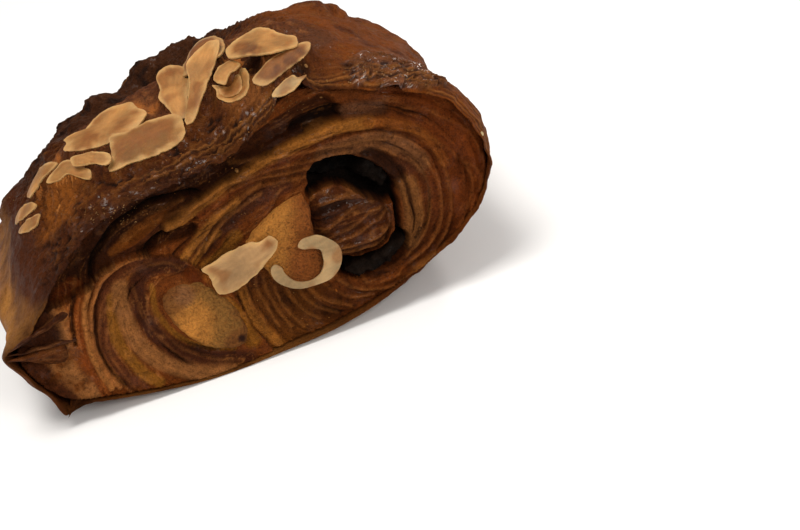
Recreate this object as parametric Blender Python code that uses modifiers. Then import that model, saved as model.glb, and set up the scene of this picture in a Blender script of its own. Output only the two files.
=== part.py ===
"""Almond pain au chocolat: a twice-baked roll of dough with chocolate, almond cream and flaked almonds.

The pastry lies on its flat base. X runs across its two lobes, Y along the roll and Z up, and the end that
shows the coil of layers faces -Y. Places are in millimetres, and become metres when a mesh is made.
"""

import math

import bmesh
import bpy
from mathutils import Matrix, Vector, noise
from mathutils.bvhtree import BVHTree

MM = 0.001

# Loaf: its section at the lip as (x, z), clockwise from the crown. Along the roll, t runs from -1 at the front
# to 1 at the back, and the section swells towards the middle and is smaller at the back
DEPTH = 79.0
LEAN = 8.0
CROWN = 58.0
SWELL_ACROSS = 0.07
SWELL_UP = 0.21
LIP_ROUND = 0.03
BACK_NARROW = 0.05
BACK_LOW = 0.1
MIDDLE = (0.0, 23.0)
OUTLINE = [
    (20, 55.5), (37, 50.5), (47, 46), (53, 40), (56, 32), (55.5, 24), (50, 16), (40, 10), (27, 4.8),
    (12, 1.5), (-2, 0.5), (-16, 0), (-30, 1.5), (-42, 4), (-50, 6.5), (-55.5, 13), (-57, 20), (-52, 24.5),
    (-44.5, 32), (-37, 38.5), (-30, 43), (-12, 46), (-3, 47), (4, 50), (11.5, 53.5),
]
OUTLINE_STEP = 4.6
SECTIONS = 14
CRUST = 2.2
RECESS = 4.2
CORE_INSET = 1.1

# Relief of the crust: bumps, crags and dips as (place, radius, height), pointed scraps of lip as (start, end,
# radius)
BUMP = 0.9
BUMP_SIZE = 9.0
CRAGS = [
    ((-9, 27, 48), 8, 4.5), ((-1, 25, 50), 10, 6.0), ((7, 22, 53), 7, 1.5), ((34, 12, 59), 8, 1.8),
    ((-28, 25, 46), 7, 2.0), ((-19, 21, 48), 7, 3.0), ((-49, 26, 29), 9, 2.8), ((4, -22, 53), 9, 1.6),
    ((57, -23, 35), 13, 1.0),
]
DIPS = [
    ((53, -4, 46), 26, -5.3), ((50, 14, 50), 12, -2.6), ((22, 21, 59), 12, -3.8), ((21, 14, 61), 10, -2.0),
    ((-36, 23, 42), 7, -1.1), ((-57, 12, 20), 20, -3.2), ((-57, 28, 21), 10, -2.2),
]
TIPS = [((-53, 20.5), (-59.3, 21.8), 3.0), ((-47, 9), (-51.3, 2.8), 3.0)]
TIP_Y = -35.5
TIP_END = 0.3

# Sheets of dough that stand out of both ends, as the middle line of each in (x, z)
SWEEP = [
    (-35, 30), (-32, 34), (-24, 36), (-13, 37), (-4, 40.3), (6, 42.3), (17, 43.6), (27, 43.6), (35, 41),
    (42, 37), (47.5, 31), (48.3, 25), (45, 17.5), (37, 11.3), (25, 7.2), (12, 4.4),
]
UNDER_CROWN = [
    (-41, 31), (-34, 37), (-22, 40.5), (-8, 42.6), (3, 46.5), (14, 50.5), (24, 51.3), (35, 47.5), (45, 42),
]
RIGHT_EDGE = [(33, 45.2), (43, 41), (50, 34.5), (52.3, 27), (49, 19), (41, 13), (29, 7.4)]
COIL = [
    (-14, 34.5), (-5, 37.3), (6, 40), (18, 40.9), (28, 40.8), (36, 38), (41.5, 32), (42.5, 24), (40, 16.5),
    (33, 11.3), (22, 8), (13, 8), (6, 10.4),
]
COIL_INNER = [(20, 39.5), (29, 39.2), (35.5, 35), (38.3, 29), (38.6, 22), (36, 15.3), (29.5, 10.6)]
MIDDLE_SHEETS = [
    [(-18, 31), (-9, 34), (-1, 36.5), (8, 37.8), (14, 38)],
    [(-17, 28.8), (-8, 31.4), (0, 34), (8, 35.8), (13, 36.2)],
]
LOBE = [
    (-15, 25.5), (-19.5, 29), (-26, 32), (-32, 32), (-37, 28.5), (-40, 22), (-40.5, 14), (-38, 7.6), (-31, 3.8),
    (-21, 2.2),
]
LOBE_CENTRE = Vector((-19.0, 14.5))
LOBE_STEPS = [0.0, 3.6, 7.2, 11.2]
LOBE_SHEETS = [
    [Vector(p) + (LOBE_CENTRE - Vector(p)).normalized() * step for p in LOBE]
    for step in LOBE_STEPS
]
LEFT_SKIN = [(-54, 21), (-47, 26), (-43, 27.5), (-42, 20), (-44, 11), (-47, 8.5)]
FAN = [
    [(-6.5, 17), (-7.4, 10), (-4, 3)],
    [(-0.8, 12), (-0.5, 7), (3, 2.6)],
    [(4, 9.4), (6, 6), (10.5, 3.2)],
]
KNOB_RIBS = [
    [(15.5, 31), (21.5, 30.6), (27, 27.4)],
    [(15, 27), (22, 26.4), (28.6, 23.6)],
    [(15.5, 22.8), (22, 22), (28.4, 19.6)],
    [(17.5, 18.6), (22, 18), (26.6, 16.8)],
]
SHEET_STEP = 4.2
SHEET_RAGGED = 0.9

# How much nearer to the middle the sheets lie at the back end, across and up, as the whole section is smaller
SHEET_BACK = (0.948, 0.897)

# Each kind of sheet: its lines, its thickness and how far its edge stays behind the lip
SHEETS = {
    "sweep": ([SWEEP], 2.6, 1.2),
    "under_crown": ([UNDER_CROWN], 1.4, 2.2),
    "right_edge": ([RIGHT_EDGE], 1.6, 0.9),
    "coil": ([COIL], 2.0, 1.6),
    "coil_inner": ([COIL_INNER], 1.6, 2.4),
    "left_skin": ([LEFT_SKIN], 1.4, 1.2),
    "middle": (MIDDLE_SHEETS, 1.2, 1.8),
    "lobe": (LOBE_SHEETS, 1.5, 1.0),
    "fan": (FAN, 1.4, 1.0),
    "knob": (KNOB_RIBS, 1.5, 1.4),
}

# Fillings, each a prism through the whole roll, as its outline in (x, z)
GAP = 0.3
CHOCOLATE = [
    (14, 35.5), (20, 37.4), (26.5, 37.2), (32, 33.8), (34.4, 28.5), (34.6, 22), (32.8, 16.4), (28.6, 12.4),
    (23, 10.6), (17, 11.2), (17.4, 14), (23, 13.6), (27.4, 15.6), (30, 19.5), (30.7, 24.5), (28.8, 29.3),
    (24.6, 32.4), (18, 33.2),
]
CREAM_CENTRE = [
    (12, 33), (7.5, 32.4), (3, 30.6), (-1, 28.4), (-3.5, 26), (-1.5, 22), (0, 17.4), (3.6, 13.4), (9, 12.4),
    (12.6, 15.6), (13.2, 20), (11.6, 24), (12.8, 28.6),
]
CREAM_LEFT = [
    (-24.5, 22), (-20.5, 23.5), (-15, 21.6), (-11, 17), (-8.6, 11), (-8.4, 6), (-11.5, 4.2), (-18, 6.6),
    (-22.6, 12), (-24.8, 17.5),
]
FILLING_STEP = 3.4
CHANNEL_OVERRUN = 6.0
CHOCOLATE_INSET = 3.4
CREAM_INSETS = {"almond_cream_centre": 1.6, "almond_cream_left": 2.4}
CHOCOLATE_DOME = 0.8
CREAM_DOME = 1.2

# Almond cream spread over the crown, under the flakes: its ridge as (x, y, height), and how far it reaches
TOP_CREAM = [
    (-48, -8, 0.3), (-40, -4, 1.0), (-30, -2, 2.2), (-20, -1, 3.2), (-8, 1, 3.8), (2, 1, 3.0), (12, -2, 1.0),
    (22, -5, 0.6), (27, -7, 0.3),
]
TOP_CREAM_STEP = 3.6
TOP_CREAM_FRONT = 17.0
TOP_CREAM_BACK = 9.0
TOP_CREAM_COLUMNS = 8
TOP_CREAM_EDGE = 0.6
TOP_CREAM_GAP = 0.55

# Flaked almonds: middle (x, y, z), length, width, turn in the flake's plane, nod towards -Y, lean towards +X,
# taper, where the end is broken off as a share of the half length, and how far it arches and cups
FLAKE_THICKNESS = 0.9
FLAKE_GAP = 0.4
FLAKE_SIDES = 14
FLAKES = [
    ((-23.1, -7.5, 53), 21.6, 11.4, -15, 14, -14, 0.25, 1.0, 0.6, 0.5),
    ((-33.9, -14.6, 47.9), 11.8, 4.4, -31, 18, -26, 0.1, 0.8, 0.3, 0.2),
    ((-39.4, -5.6, 44.5), 10.6, 6.4, -22, 1, -44, 0.2, 0.9, 0.5, 0.3),
    ((-44.5, -7, 38.5), 10.2, 4.6, -38, 4, -48, 0.3, 1.0, 0.4, 0.2),
    ((-45.2, -12.7, 37.7), 9.1, 4.0, -33, 11, -46, 0.3, 1.0, 0.3, 0.2),
    ((-5.5, -7, 56), 15.6, 8.0, 68, 20, -8, -0.1, 0.9, 0.4, 0.4),
    ((-16, -18.4, 50.5), 20.0, 9.4, 11, 30, -5, -0.2, 1.0, 0.9, 0.8),
    ((-28.5, -18.1, 50.6), 10.4, 3.8, -42, 26, -17, 0.1, 0.85, 0.3, 0.2),
    ((4.4, -1.1, 60.5), 9.5, 10.4, -13, -3, -17, 0.1, 0.9, 0.6, 0.4),
    ((0.2, -14.4, 58), 22.8, 7.8, 50, 26, -17, -0.35, 1.0, 0.8, -0.7),
    ((14.8, -15.5, 62.5), 16.0, 9.4, -19, 14, -6, -0.15, 0.85, 0.5, -0.5),
    ((16.9, -23.1, 59.8), 14.7, 5.2, 13, 30, -9, 0.2, 1.0, 0.7, 0.5),
    ((5.5, -21.7, 57.8), 7.7, 8.2, -7, 22, -22, 0.0, 0.9, -1.2, -1.4),
    ((5.4, -18.3, 60), 6.7, 4.2, 8, 22, -16, 0.2, 0.9, 0.4, 0.3),
    ((16.2, -30.2, 56.4), 9.1, 3.4, 12, 30, -6, 0.5, 1.0, 0.3, 0.1),
    ((-5.5, -36, 22.7), 17.8, 6.6, 15, 82, 0, -0.1, 0.9, 0.4, 0.3),
]
FLAKE_RUN = 12.0
FLAKE_DROP = 0.2

# The flake on the front end whose middle is gone, a hook round an open hole: middle, turn, nod and lean
HOOK = ((8.5, -39, 19.5), 0, 82, 0)
HOOK_OUTSIDE = (8.8, 6.6)
HOOK_HOLE = (4.0, 3.8)
HOOK_HOLE_SHIFT = (0.8, 0.6)
HOOK_ANGLES = (-215, 110)
HOOK_STEPS = 18


def smooth_path(points, step, closed=False):
    """Return points about one step apart along a Catmull-Rom curve through the given ones."""
    knots = [Vector(p) for p in points]
    count = len(knots)
    fine = []
    for i in range(count if closed else count - 1):
        if closed:
            a, b, c, d = (knots[(i + k) % count] for k in (-1, 0, 1, 2))
        else:
            a, b, c, d = (knots[min(max(i + k, 0), count - 1)] for k in (-1, 0, 1, 2))
        for k in range(16):
            t = k / 16
            pull = (c - a) * t + (2 * a - 5 * b + 4 * c - d) * t**2 + (3 * b - a - 3 * c + d) * t**3
            fine.append(b + pull / 2)
    fine.append(knots[0] if closed else knots[-1])
    lengths = [0.0]
    for before, after in zip(fine, fine[1:]):
        lengths.append(lengths[-1] + (after - before).length)
    steps = max(3, round(lengths[-1] / step))
    result = []
    here = 0
    for k in range(steps if closed else steps + 1):
        want = lengths[-1] * k / steps
        while here < len(fine) - 2 and lengths[here + 1] < want:
            here += 1
        span = lengths[here + 1] - lengths[here]
        result.append(fine[here].lerp(fine[here + 1], (want - lengths[here]) / max(span, 1e-9)))
    return result


def half_depth(z):
    """Return how far each end face is from the middle of the roll at height z."""
    return DEPTH / 2 - LEAN * z / CROWN


def bump(point):
    """Return the height of the crust's bumps at a point, nothing on the base."""
    rise = min(1.0, max(0.0, point.z / 8))
    height = BUMP * rise * noise.noise(point / BUMP_SIZE)
    for place, radius, crag in CRAGS + DIPS:
        height += crag * max(0.0, 1 - (point - Vector(place)).length_squared / radius**2) ** 1.5
    return height


def loaf_ring(t, inset):
    """Return one section of the loaf, t from -1 at the front end to 1 at the back end."""
    centre = Vector(MIDDLE)
    to_back = max(0.0, t)
    across = 1 + SWELL_ACROSS * (1 - t * t) - LIP_ROUND * to_back**8 - BACK_NARROW * to_back**2
    up = 1 + SWELL_UP * (1 - t * t) - LIP_ROUND * to_back**8 - BACK_LOW * to_back**2
    ring = []
    for p in smooth_path(OUTLINE, OUTLINE_STEP, closed=True):
        out = p - centre
        flat = centre + Vector((out.x * across, out.y * up)) - out.normalized() * inset
        place = Vector((flat.x, t * half_depth(p.y), flat.y))
        push = out.normalized() * bump(place)
        ring.append(Vector((place.x + push.x, place.y, max(place.z + push.y, inset))))
    return ring


def new_object(name, points, faces):
    """Make a mesh object from points in millimetres, with its faces turned outwards."""
    mesh = bpy.data.meshes.new(name)
    mesh.from_pydata([Vector(p) * MM for p in points], [], faces)
    shape = bmesh.new()
    shape.from_mesh(mesh)
    bmesh.ops.recalc_face_normals(shape, faces=shape.faces)
    shape.to_mesh(mesh)
    shape.free()
    result = bpy.data.objects.new(name, mesh)
    bpy.context.scene.collection.objects.link(result)
    return result


def loft(name, rings, caps=True):
    """Join rings of equal length into a tube, with flat caps or open ends."""
    count = len(rings[0])
    points = [p for ring in rings for p in ring]
    faces = []
    for r in range(len(rings) - 1):
        for k in range(count):
            after = (k + 1) % count
            faces.append((r * count + k, r * count + after, (r + 1) * count + after, (r + 1) * count + k))
    if caps:
        faces.append(tuple(range(count)))
        faces.append(tuple(range((len(rings) - 1) * count, len(rings) * count)))
    return new_object(name, points, faces)


def apply_modifiers(target):
    """Replace an object's mesh with what its modifiers make of it."""
    graph = bpy.context.evaluated_depsgraph_get()
    mesh = bpy.data.meshes.new_from_object(target.evaluated_get(graph))
    target.modifiers.clear()
    target.data = mesh


def thicken(target, thickness, offset):
    """Give an open surface its thickness."""
    solid = target.modifiers.new("thickness", "SOLIDIFY")
    solid.thickness = thickness * MM
    solid.offset = offset
    apply_modifiers(target)


def sheet(name, path, thickness, inset, seed):
    """Stand one sheet of dough along a path, through the roll and out of both ends."""
    line = smooth_path(path, SHEET_STEP)
    centre = Vector(MIDDLE)
    points = []
    for p in line:
        at_back = centre + (p - centre) * Vector(SHEET_BACK)
        for side, place in ((-1, p), (1, at_back)):
            ragged = SHEET_RAGGED * noise.noise(Vector((p.x / 6, seed * 3.7 + side, p.y / 6)))
            points.append(Vector((place.x, side * (half_depth(p.y) - inset + ragged), place.y)))
    faces = [(2 * k, 2 * k + 1, 2 * k + 3, 2 * k + 2) for k in range(len(line) - 1)]
    result = new_object(name, points, faces)
    thicken(result, thickness, 0.0)
    return result


def prism(name, outline, grow, inset, dome):
    """Run an outline through the roll, grown sideways, with ends that round off over the dome's depth."""
    ring = smooth_path(outline, FILLING_STEP, closed=True)
    count = len(ring)
    area = sum(ring[k - 1].x * ring[k].y - ring[k].x * ring[k - 1].y for k in range(count))
    outwards = math.copysign(1, area)
    sides = []
    for k in range(count):
        along = (ring[(k + 1) % count] - ring[k - 1]).normalized()
        sides.append(Vector((along.y, -along.x)) * outwards)
    steps = [(0.0, 0.0)]
    if dome:
        steps = [(dome, -0.7 * dome), (0.3 * dome, -0.2 * dome), (-0.3 * dome, 0.0)]
    rings = []
    for side, order in ((-1, steps), (1, reversed(steps))):
        for forward, narrow in order:
            placed = [p + n * (grow + narrow) for p, n in zip(ring, sides)]
            rings.append([Vector((q.x, side * (half_depth(q.y) - inset + forward), q.y)) for q in placed])
    return loft(name, rings)


def tip(start, end, radius):
    """Make a flat pointed scrap of crust that sticks out of the lip at the front end."""
    shape = bmesh.new()
    length = math.dist(start, end)
    bmesh.ops.create_cone(
        shape, cap_ends=True, segments=8, radius1=radius * MM, radius2=TIP_END * MM, depth=length * MM
    )
    lean = math.atan2(end[0] - start[0], end[1] - start[1])
    middle = Vector(((start[0] + end[0]) / 2, TIP_Y, (start[1] + end[1]) / 2)) * MM
    flatten = Matrix.Diagonal((1, 0.5, 1, 1))
    bmesh.ops.transform(
        shape, matrix=Matrix.Translation(middle) @ Matrix.Rotation(lean, 4, "Y") @ flatten, verts=shape.verts
    )
    mesh = bpy.data.meshes.new("tip")
    shape.to_mesh(mesh)
    shape.free()
    result = bpy.data.objects.new("tip", mesh)
    bpy.context.scene.collection.objects.link(result)
    return result


def collect(name, members):
    """Move objects into a collection of their own, out of the scene's."""
    group = bpy.data.collections.new(name)
    for member in members:
        bpy.context.scene.collection.objects.unlink(member)
        group.objects.link(member)
    bpy.context.scene.collection.children.link(group)
    return group


def boolean(target, group, operation):
    """Join or cut a target with every object of a collection, then remove the collection."""
    change = target.modifiers.new(operation, "BOOLEAN")
    change.operation = operation
    change.operand_type = "COLLECTION"
    change.collection = group
    change.solver = "EXACT"
    apply_modifiers(target)
    for member in list(group.objects):
        bpy.data.objects.remove(member)
    bpy.data.collections.remove(group)


def keep_largest(target):
    """Drop loose scraps and sealed hollows, which are bodies of their own."""
    shape = bmesh.new()
    shape.from_mesh(target.data)
    seen = set()
    bodies = []
    for start in shape.faces:
        if start in seen:
            continue
        seen.add(start)
        body = [start]
        for face in body:
            for edge in face.edges:
                for other in edge.link_faces:
                    if other not in seen:
                        seen.add(other)
                        body.append(other)
        bodies.append(body)
    bodies.sort(key=len)
    for body in bodies[:-1]:
        bmesh.ops.delete(shape, geom=body, context="FACES")
    bmesh.ops.triangulate(shape, faces=shape.faces)
    shape.to_mesh(target.data)
    shape.free()


def material(name, colour, roughness):
    """Make one plain material."""
    result = bpy.data.materials.new(name)
    result.use_nodes = True
    shader = result.node_tree.nodes["Principled BSDF"]
    shader.inputs["Base Color"].default_value = (*colour, 1)
    shader.inputs["Roughness"].default_value = roughness
    shader.inputs["Metallic"].default_value = 0.0
    return result


def clear_scene():
    for old in list(bpy.data.objects):
        bpy.data.objects.remove(old)


def make_pastry():
    """The dough: a core, its crust and the sheets whose edges show at both ends, cut for the fillings."""
    reach = 1 - RECESS / (DEPTH / 2)
    ends = [-1 + 2 * k / SECTIONS for k in range(SECTIONS + 1)]
    pastry = loft("pastry", [loaf_ring(t * reach, CORE_INSET) for t in ends])
    crust = loft("crust", [loaf_ring(t, 0.0) for t in ends], caps=False)
    thicken(crust, CRUST, -1.0)
    joined = [crust] + [tip(start, end, radius) for start, end, radius in TIPS]
    for paths, thickness, inset in SHEETS.values():
        for path in paths:
            joined.append(sheet("sheet", path, thickness, inset, len(joined)))
    boolean(pastry, collect("joined", joined), "UNION")
    outlines = [CHOCOLATE, CREAM_CENTRE, CREAM_LEFT]
    channels = [prism("channel", outline, GAP, -CHANNEL_OVERRUN, 0) for outline in outlines]
    boolean(pastry, collect("channels", channels), "DIFFERENCE")
    keep_largest(pastry)
    pastry.data.materials.append(material("baked dough", (0.17, 0.065, 0.02), 0.6))
    return pastry


def make_fillings():
    """The chocolate round the knob of dough, and the almond cream in the middle and in the left lobe."""
    chocolate = prism("chocolate", CHOCOLATE, 0.0, CHOCOLATE_INSET, CHOCOLATE_DOME)
    chocolate.data.materials.append(material("chocolate", (0.02, 0.008, 0.004), 0.5))
    fillings = [chocolate]
    cream = material("almond cream", (0.3, 0.12, 0.03), 0.85)
    for outline, (name, inset) in zip((CREAM_CENTRE, CREAM_LEFT), CREAM_INSETS.items()):
        filling = prism(name, outline, 0.0, inset, CREAM_DOME)
        filling.data.materials.append(cream)
        fillings.append(filling)
    return fillings


def make_top_cream(pastry):
    """The almond cream on the crown: a low uneven ridge whose underside follows the crust."""
    crust = BVHTree.FromPolygons(
        [v.co / MM for v in pastry.data.vertices], [tuple(f.vertices) for f in pastry.data.polygons]
    )
    ridge = smooth_path(TOP_CREAM, TOP_CREAM_STEP)
    low = []
    high = []
    for k, station in enumerate(ridge):
        end = min(1.0, 0.35 + min(k, len(ridge) - 1 - k) / 3)
        for column in range(TOP_CREAM_COLUMNS + 1):
            share = 1 - 2 * column / TOP_CREAM_COLUMNS
            ragged = 1 + 0.3 * noise.noise(Vector((station.x / 6, share * 2, 4.2)))
            reach = TOP_CREAM_BACK if share > 0 else TOP_CREAM_FRONT
            y = station.y + share * reach * end * ragged
            found, normal, _, _ = crust.ray_cast(Vector((station.x, y, 100)), Vector((0, 0, -1)))
            under = found + Vector((0, 0, TOP_CREAM_GAP / max(normal.z, 0.4)))
            thick = TOP_CREAM_EDGE + station.z * (1 - abs(share)) ** 0.8
            low.append(under)
            high.append(under + Vector((0, 0, thick)))
    width = TOP_CREAM_COLUMNS + 1
    count = len(low)
    faces = []
    for k in range(len(ridge) - 1):
        for column in range(TOP_CREAM_COLUMNS):
            i = k * width + column
            faces.append((i, i + 1, i + 1 + width, i + width))
            faces.append(tuple(count + j for j in (i + width, i + 1 + width, i + 1, i)))
    front = [k * width + TOP_CREAM_COLUMNS for k in range(len(ridge))]
    rim = list(range(width)) + front[1:] + [count - 1 - c for c in range(1, width)]
    rim += [k * width for k in range(len(ridge) - 2, 0, -1)]
    for a, b in zip(rim, rim[1:] + rim[:1]):
        faces.append((a, a + count, b + count, b))
    cream = new_object("almond_cream_top", low + high, faces)
    cream.data.materials.append(material("almond cream top", (0.3, 0.12, 0.03), 0.85))
    return cream


def flake_surface(length, width, taper, cut, arch, cup, seed):
    """Make one flake as an open sheet: an oval with a pointed or broken end, slightly bent."""
    points = [Vector((0, 0, 0))]
    for ring in (0.55, 1.0):
        for k in range(FLAKE_SIDES):
            angle = math.tau * k / FLAKE_SIDES
            ragged = 1 + 0.06 * noise.noise(Vector((math.cos(angle), math.sin(angle), seed * 1.9)))
            x = min(math.cos(angle) * ragged, cut) * ring
            y = math.sin(angle) * (1 - taper * math.cos(angle)) * ragged * ring
            points.append(Vector((x * length / 2, y * width / 2, arch * (1 - x * x) + cup * (1 - y * y) / 2)))
    faces = [(0, 1 + k, 1 + (k + 1) % FLAKE_SIDES) for k in range(FLAKE_SIDES)]
    for k in range(FLAKE_SIDES):
        after = (k + 1) % FLAKE_SIDES
        faces.append((1 + k, 1 + FLAKE_SIDES + k, 1 + FLAKE_SIDES + after, 1 + after))
    return points, faces


def hook_surface():
    """Make the flake with an open hole as a bent strip between its outer edge and the hole."""
    points = []
    for k in range(HOOK_STEPS + 1):
        angle = math.radians(HOOK_ANGLES[0] + (HOOK_ANGLES[1] - HOOK_ANGLES[0]) * k / HOOK_STEPS)
        outside = Vector((HOOK_OUTSIDE[0] * math.cos(angle), HOOK_OUTSIDE[1] * math.sin(angle), 0))
        hole = Vector((
            HOOK_HOLE[0] * math.cos(angle) + HOOK_HOLE_SHIFT[0],
            HOOK_HOLE[1] * math.sin(angle) + HOOK_HOLE_SHIFT[1],
            0.3,
        ))
        middle = outside.lerp(hole, 0.5)
        narrow = min(1.0, 0.45 + 0.28 * min(k, HOOK_STEPS - k))
        points.append(middle.lerp(outside, narrow))
        points.append(middle.lerp(hole, narrow))
    faces = [(2 * k, 2 * k + 1, 2 * k + 3, 2 * k + 2) for k in range(HOOK_STEPS)]
    return points, faces


def clear_of(points, faces, obstacles, obstacle_points):
    """Say whether a flake keeps its gap to everything laid down before it."""
    gap = FLAKE_GAP * MM
    tree = BVHTree.FromPolygons(points, faces)
    for obstacle in obstacles:
        if tree.overlap(obstacle):
            return False
        if any(obstacle.find_nearest(p, gap)[0] is not None for p in points):
            return False
    low = [min(p[i] for p in points) - gap for i in range(3)]
    high = [max(p[i] for p in points) + gap for i in range(3)]
    close = [p for p in obstacle_points if all(low[i] <= p[i] <= high[i] for i in range(3))]
    return all(tree.find_nearest(p, gap)[0] is None for p in close)


def settle(flake, middle, turn, obstacles, obstacle_points):
    """Bring a flake down along its own normal until it nearly touches what is under it."""
    normal = turn @ Vector((0, 0, 1))
    faces = [tuple(f.vertices) for f in flake.data.polygons]
    corners = [v.co.copy() for v in flake.data.vertices]
    lift = FLAKE_RUN
    while lift > -FLAKE_RUN:
        place = (Vector(middle) + normal * (lift - FLAKE_DROP)) * MM
        if not clear_of([turn @ p + place for p in corners], faces, obstacles, obstacle_points):
            break
        lift -= FLAKE_DROP
    place = (Vector(middle) + normal * lift) * MM
    flake.data.transform(Matrix.Translation(place) @ turn.to_4x4())


def as_obstacle(target):
    """Return a search tree of an object's faces, and its corners and face middles."""
    mesh = target.data
    corners = [v.co.copy() for v in mesh.vertices]
    tree = BVHTree.FromPolygons(corners, [tuple(f.vertices) for f in mesh.polygons])
    return tree, corners + [f.center.copy() for f in mesh.polygons]


def make_flakes(laid_on):
    """The flaked almonds, each laid on the crust, the cream and the flakes before it."""
    almond = material("flaked almond", (0.38, 0.19, 0.07), 0.6)
    shapes = []
    for k, (middle, length, width, turn, nod, lean, taper, cut, arch, cup) in enumerate(FLAKES):
        shape = flake_surface(length, width, taper, cut, arch, cup, k)
        shapes.append((f"flake_{k + 1:02d}", shape, middle, turn, nod, lean))
    shapes.append(("flake_hook", hook_surface(), *HOOK))
    obstacles = []
    obstacle_points = []
    for target in laid_on:
        tree, corners = as_obstacle(target)
        obstacles.append(tree)
        obstacle_points += corners
    for name, (points, faces), middle, turn, nod, lean in shapes:
        flake = new_object(name, points, faces)
        thicken(flake, FLAKE_THICKNESS, 0.0)
        tilt = Matrix.Rotation(math.radians(nod), 3, "X") @ Matrix.Rotation(math.radians(lean), 3, "Y")
        settle(flake, middle, tilt @ Matrix.Rotation(math.radians(turn), 3, "Z"), obstacles, obstacle_points)
        flake.data.materials.append(almond)
        tree, corners = as_obstacle(flake)
        obstacles.append(tree)
        obstacle_points += corners


def centre_on_base():
    """Move everything so that the origin is under the middle of the whole, on the level that it rests on."""
    solids = [o for o in bpy.data.objects if o.type == "MESH"]
    corners = [v.co for o in solids for v in o.data.vertices]
    low = Vector([min(c[i] for c in corners) for i in range(3)])
    high = Vector([max(c[i] for c in corners) for i in range(3)])
    shift = Matrix.Translation((-(low.x + high.x) / 2, -(low.y + high.y) / 2, -low.z))
    for solid in solids:
        solid.data.transform(shift)


def main():
    clear_scene()
    pastry = make_pastry()
    fillings = make_fillings()
    cream = make_top_cream(pastry)
    make_flakes([pastry, cream] + fillings)
    centre_on_base()


main()
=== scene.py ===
"""Almond pain au chocolat, dressed: baked crust, layered ends, chocolate, almond cream and flaked almonds.

The frame's X runs across the two lobes, Y along the roll and Z up, and the end that shows its coil faces -Y.
Shapes are worked out in millimetres and become metres when they are put into a mesh.
"""
import itertools
import math

import bpy
import numpy as np
from mathutils import Matrix, Vector, noise
from mathutils.bvhtree import BVHTree


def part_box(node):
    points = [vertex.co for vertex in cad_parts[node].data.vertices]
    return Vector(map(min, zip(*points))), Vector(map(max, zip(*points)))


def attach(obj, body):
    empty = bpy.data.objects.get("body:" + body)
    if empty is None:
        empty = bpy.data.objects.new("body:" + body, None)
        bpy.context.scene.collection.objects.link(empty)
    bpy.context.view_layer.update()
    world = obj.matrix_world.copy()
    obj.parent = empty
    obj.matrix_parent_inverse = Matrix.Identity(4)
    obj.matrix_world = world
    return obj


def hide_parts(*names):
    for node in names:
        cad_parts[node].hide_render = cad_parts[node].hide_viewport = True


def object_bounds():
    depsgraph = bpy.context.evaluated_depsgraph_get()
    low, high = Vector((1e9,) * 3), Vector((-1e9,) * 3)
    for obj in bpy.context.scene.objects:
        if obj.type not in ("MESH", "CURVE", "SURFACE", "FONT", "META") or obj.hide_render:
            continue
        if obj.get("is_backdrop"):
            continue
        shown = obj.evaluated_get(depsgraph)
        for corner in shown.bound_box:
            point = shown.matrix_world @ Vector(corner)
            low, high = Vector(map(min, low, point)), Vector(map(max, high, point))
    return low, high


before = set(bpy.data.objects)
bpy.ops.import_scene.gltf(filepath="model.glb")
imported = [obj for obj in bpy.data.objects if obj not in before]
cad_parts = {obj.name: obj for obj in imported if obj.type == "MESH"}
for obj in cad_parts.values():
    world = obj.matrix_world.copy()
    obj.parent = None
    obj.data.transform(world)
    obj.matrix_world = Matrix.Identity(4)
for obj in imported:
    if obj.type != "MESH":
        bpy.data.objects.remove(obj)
cad_box = [list(corner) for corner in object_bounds()]

# Studio: the photograph's camera, which looks down on the crown and is turned so that the flat base runs
# uphill, a large pale floor, and soft light from a wide panel overhead, a low one in front, a small one
# behind at the right, and a bright room.
MM = 0.001
PHOTO_WIDTH = 800
PHOTO_HEIGHT = 530
AZIMUTH = math.radians(-12)
ELEVATION = math.radians(28)
ROLL = math.radians(14)
LENS = 75
SENSOR = 36
DISTANCE = 400
TARGET = Vector((3.7, 0, 17.2))
TARGET_PIXEL = (247, 215)
ROOM_COLOUR = (1.0, 0.97, 0.92, 1)
ROOM_STRENGTH = 0.42
LIGHT_COLOUR = (1.0, 0.95, 0.87)
FLOOR_COLOUR = (0.85, 0.865, 0.9, 1)
FLOOR_ROUGHNESS = 0.9
FLOOR_WIDTH = 12

back = Vector((
    math.sin(AZIMUTH) * math.cos(ELEVATION), -math.cos(AZIMUTH) * math.cos(ELEVATION), math.sin(ELEVATION)
))
level = Vector((math.cos(AZIMUTH), math.sin(AZIMUTH), 0))
upright = back.cross(level)
right = level * math.cos(ROLL) - upright * math.sin(ROLL)
up = level * math.sin(ROLL) + upright * math.cos(ROLL)
focal = PHOTO_WIDTH * LENS / SENSOR
aside = (TARGET_PIXEL[0] - PHOTO_WIDTH / 2) / focal * DISTANCE
above = (PHOTO_HEIGHT / 2 - TARGET_PIXEL[1]) / focal * DISTANCE
eye = TARGET + back * DISTANCE - right * aside - up * above

bpy.ops.object.camera_add()
camera = bpy.context.object
camera.name = "photo_camera"
camera.matrix_world = Matrix.Translation(eye * MM) @ Matrix((right, up, back)).transposed().to_4x4()
camera.data.lens = LENS
camera.data.sensor_width = SENSOR
camera.data.clip_start = 0.01
bpy.context.scene.camera = camera
bpy.context.scene.view_settings.view_transform = "Standard"

room = bpy.data.worlds.new("room")
bpy.context.scene.world = room
room.use_nodes = True
sky = room.node_tree.nodes["Background"].inputs
sky["Color"].default_value = ROOM_COLOUR
sky["Strength"].default_value = ROOM_STRENGTH


def panel(name, place, size, power):
    """Hang one square light panel that faces the pastry, its place and size in metres."""
    bpy.ops.object.light_add(type="AREA", location=place)
    light = bpy.context.object
    light.name = name
    light.rotation_euler = (-Vector(place)).to_track_quat("-Z", "Y").to_euler()
    light.data.size = size
    light.data.energy = power
    light.data.color = LIGHT_COLOUR


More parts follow.
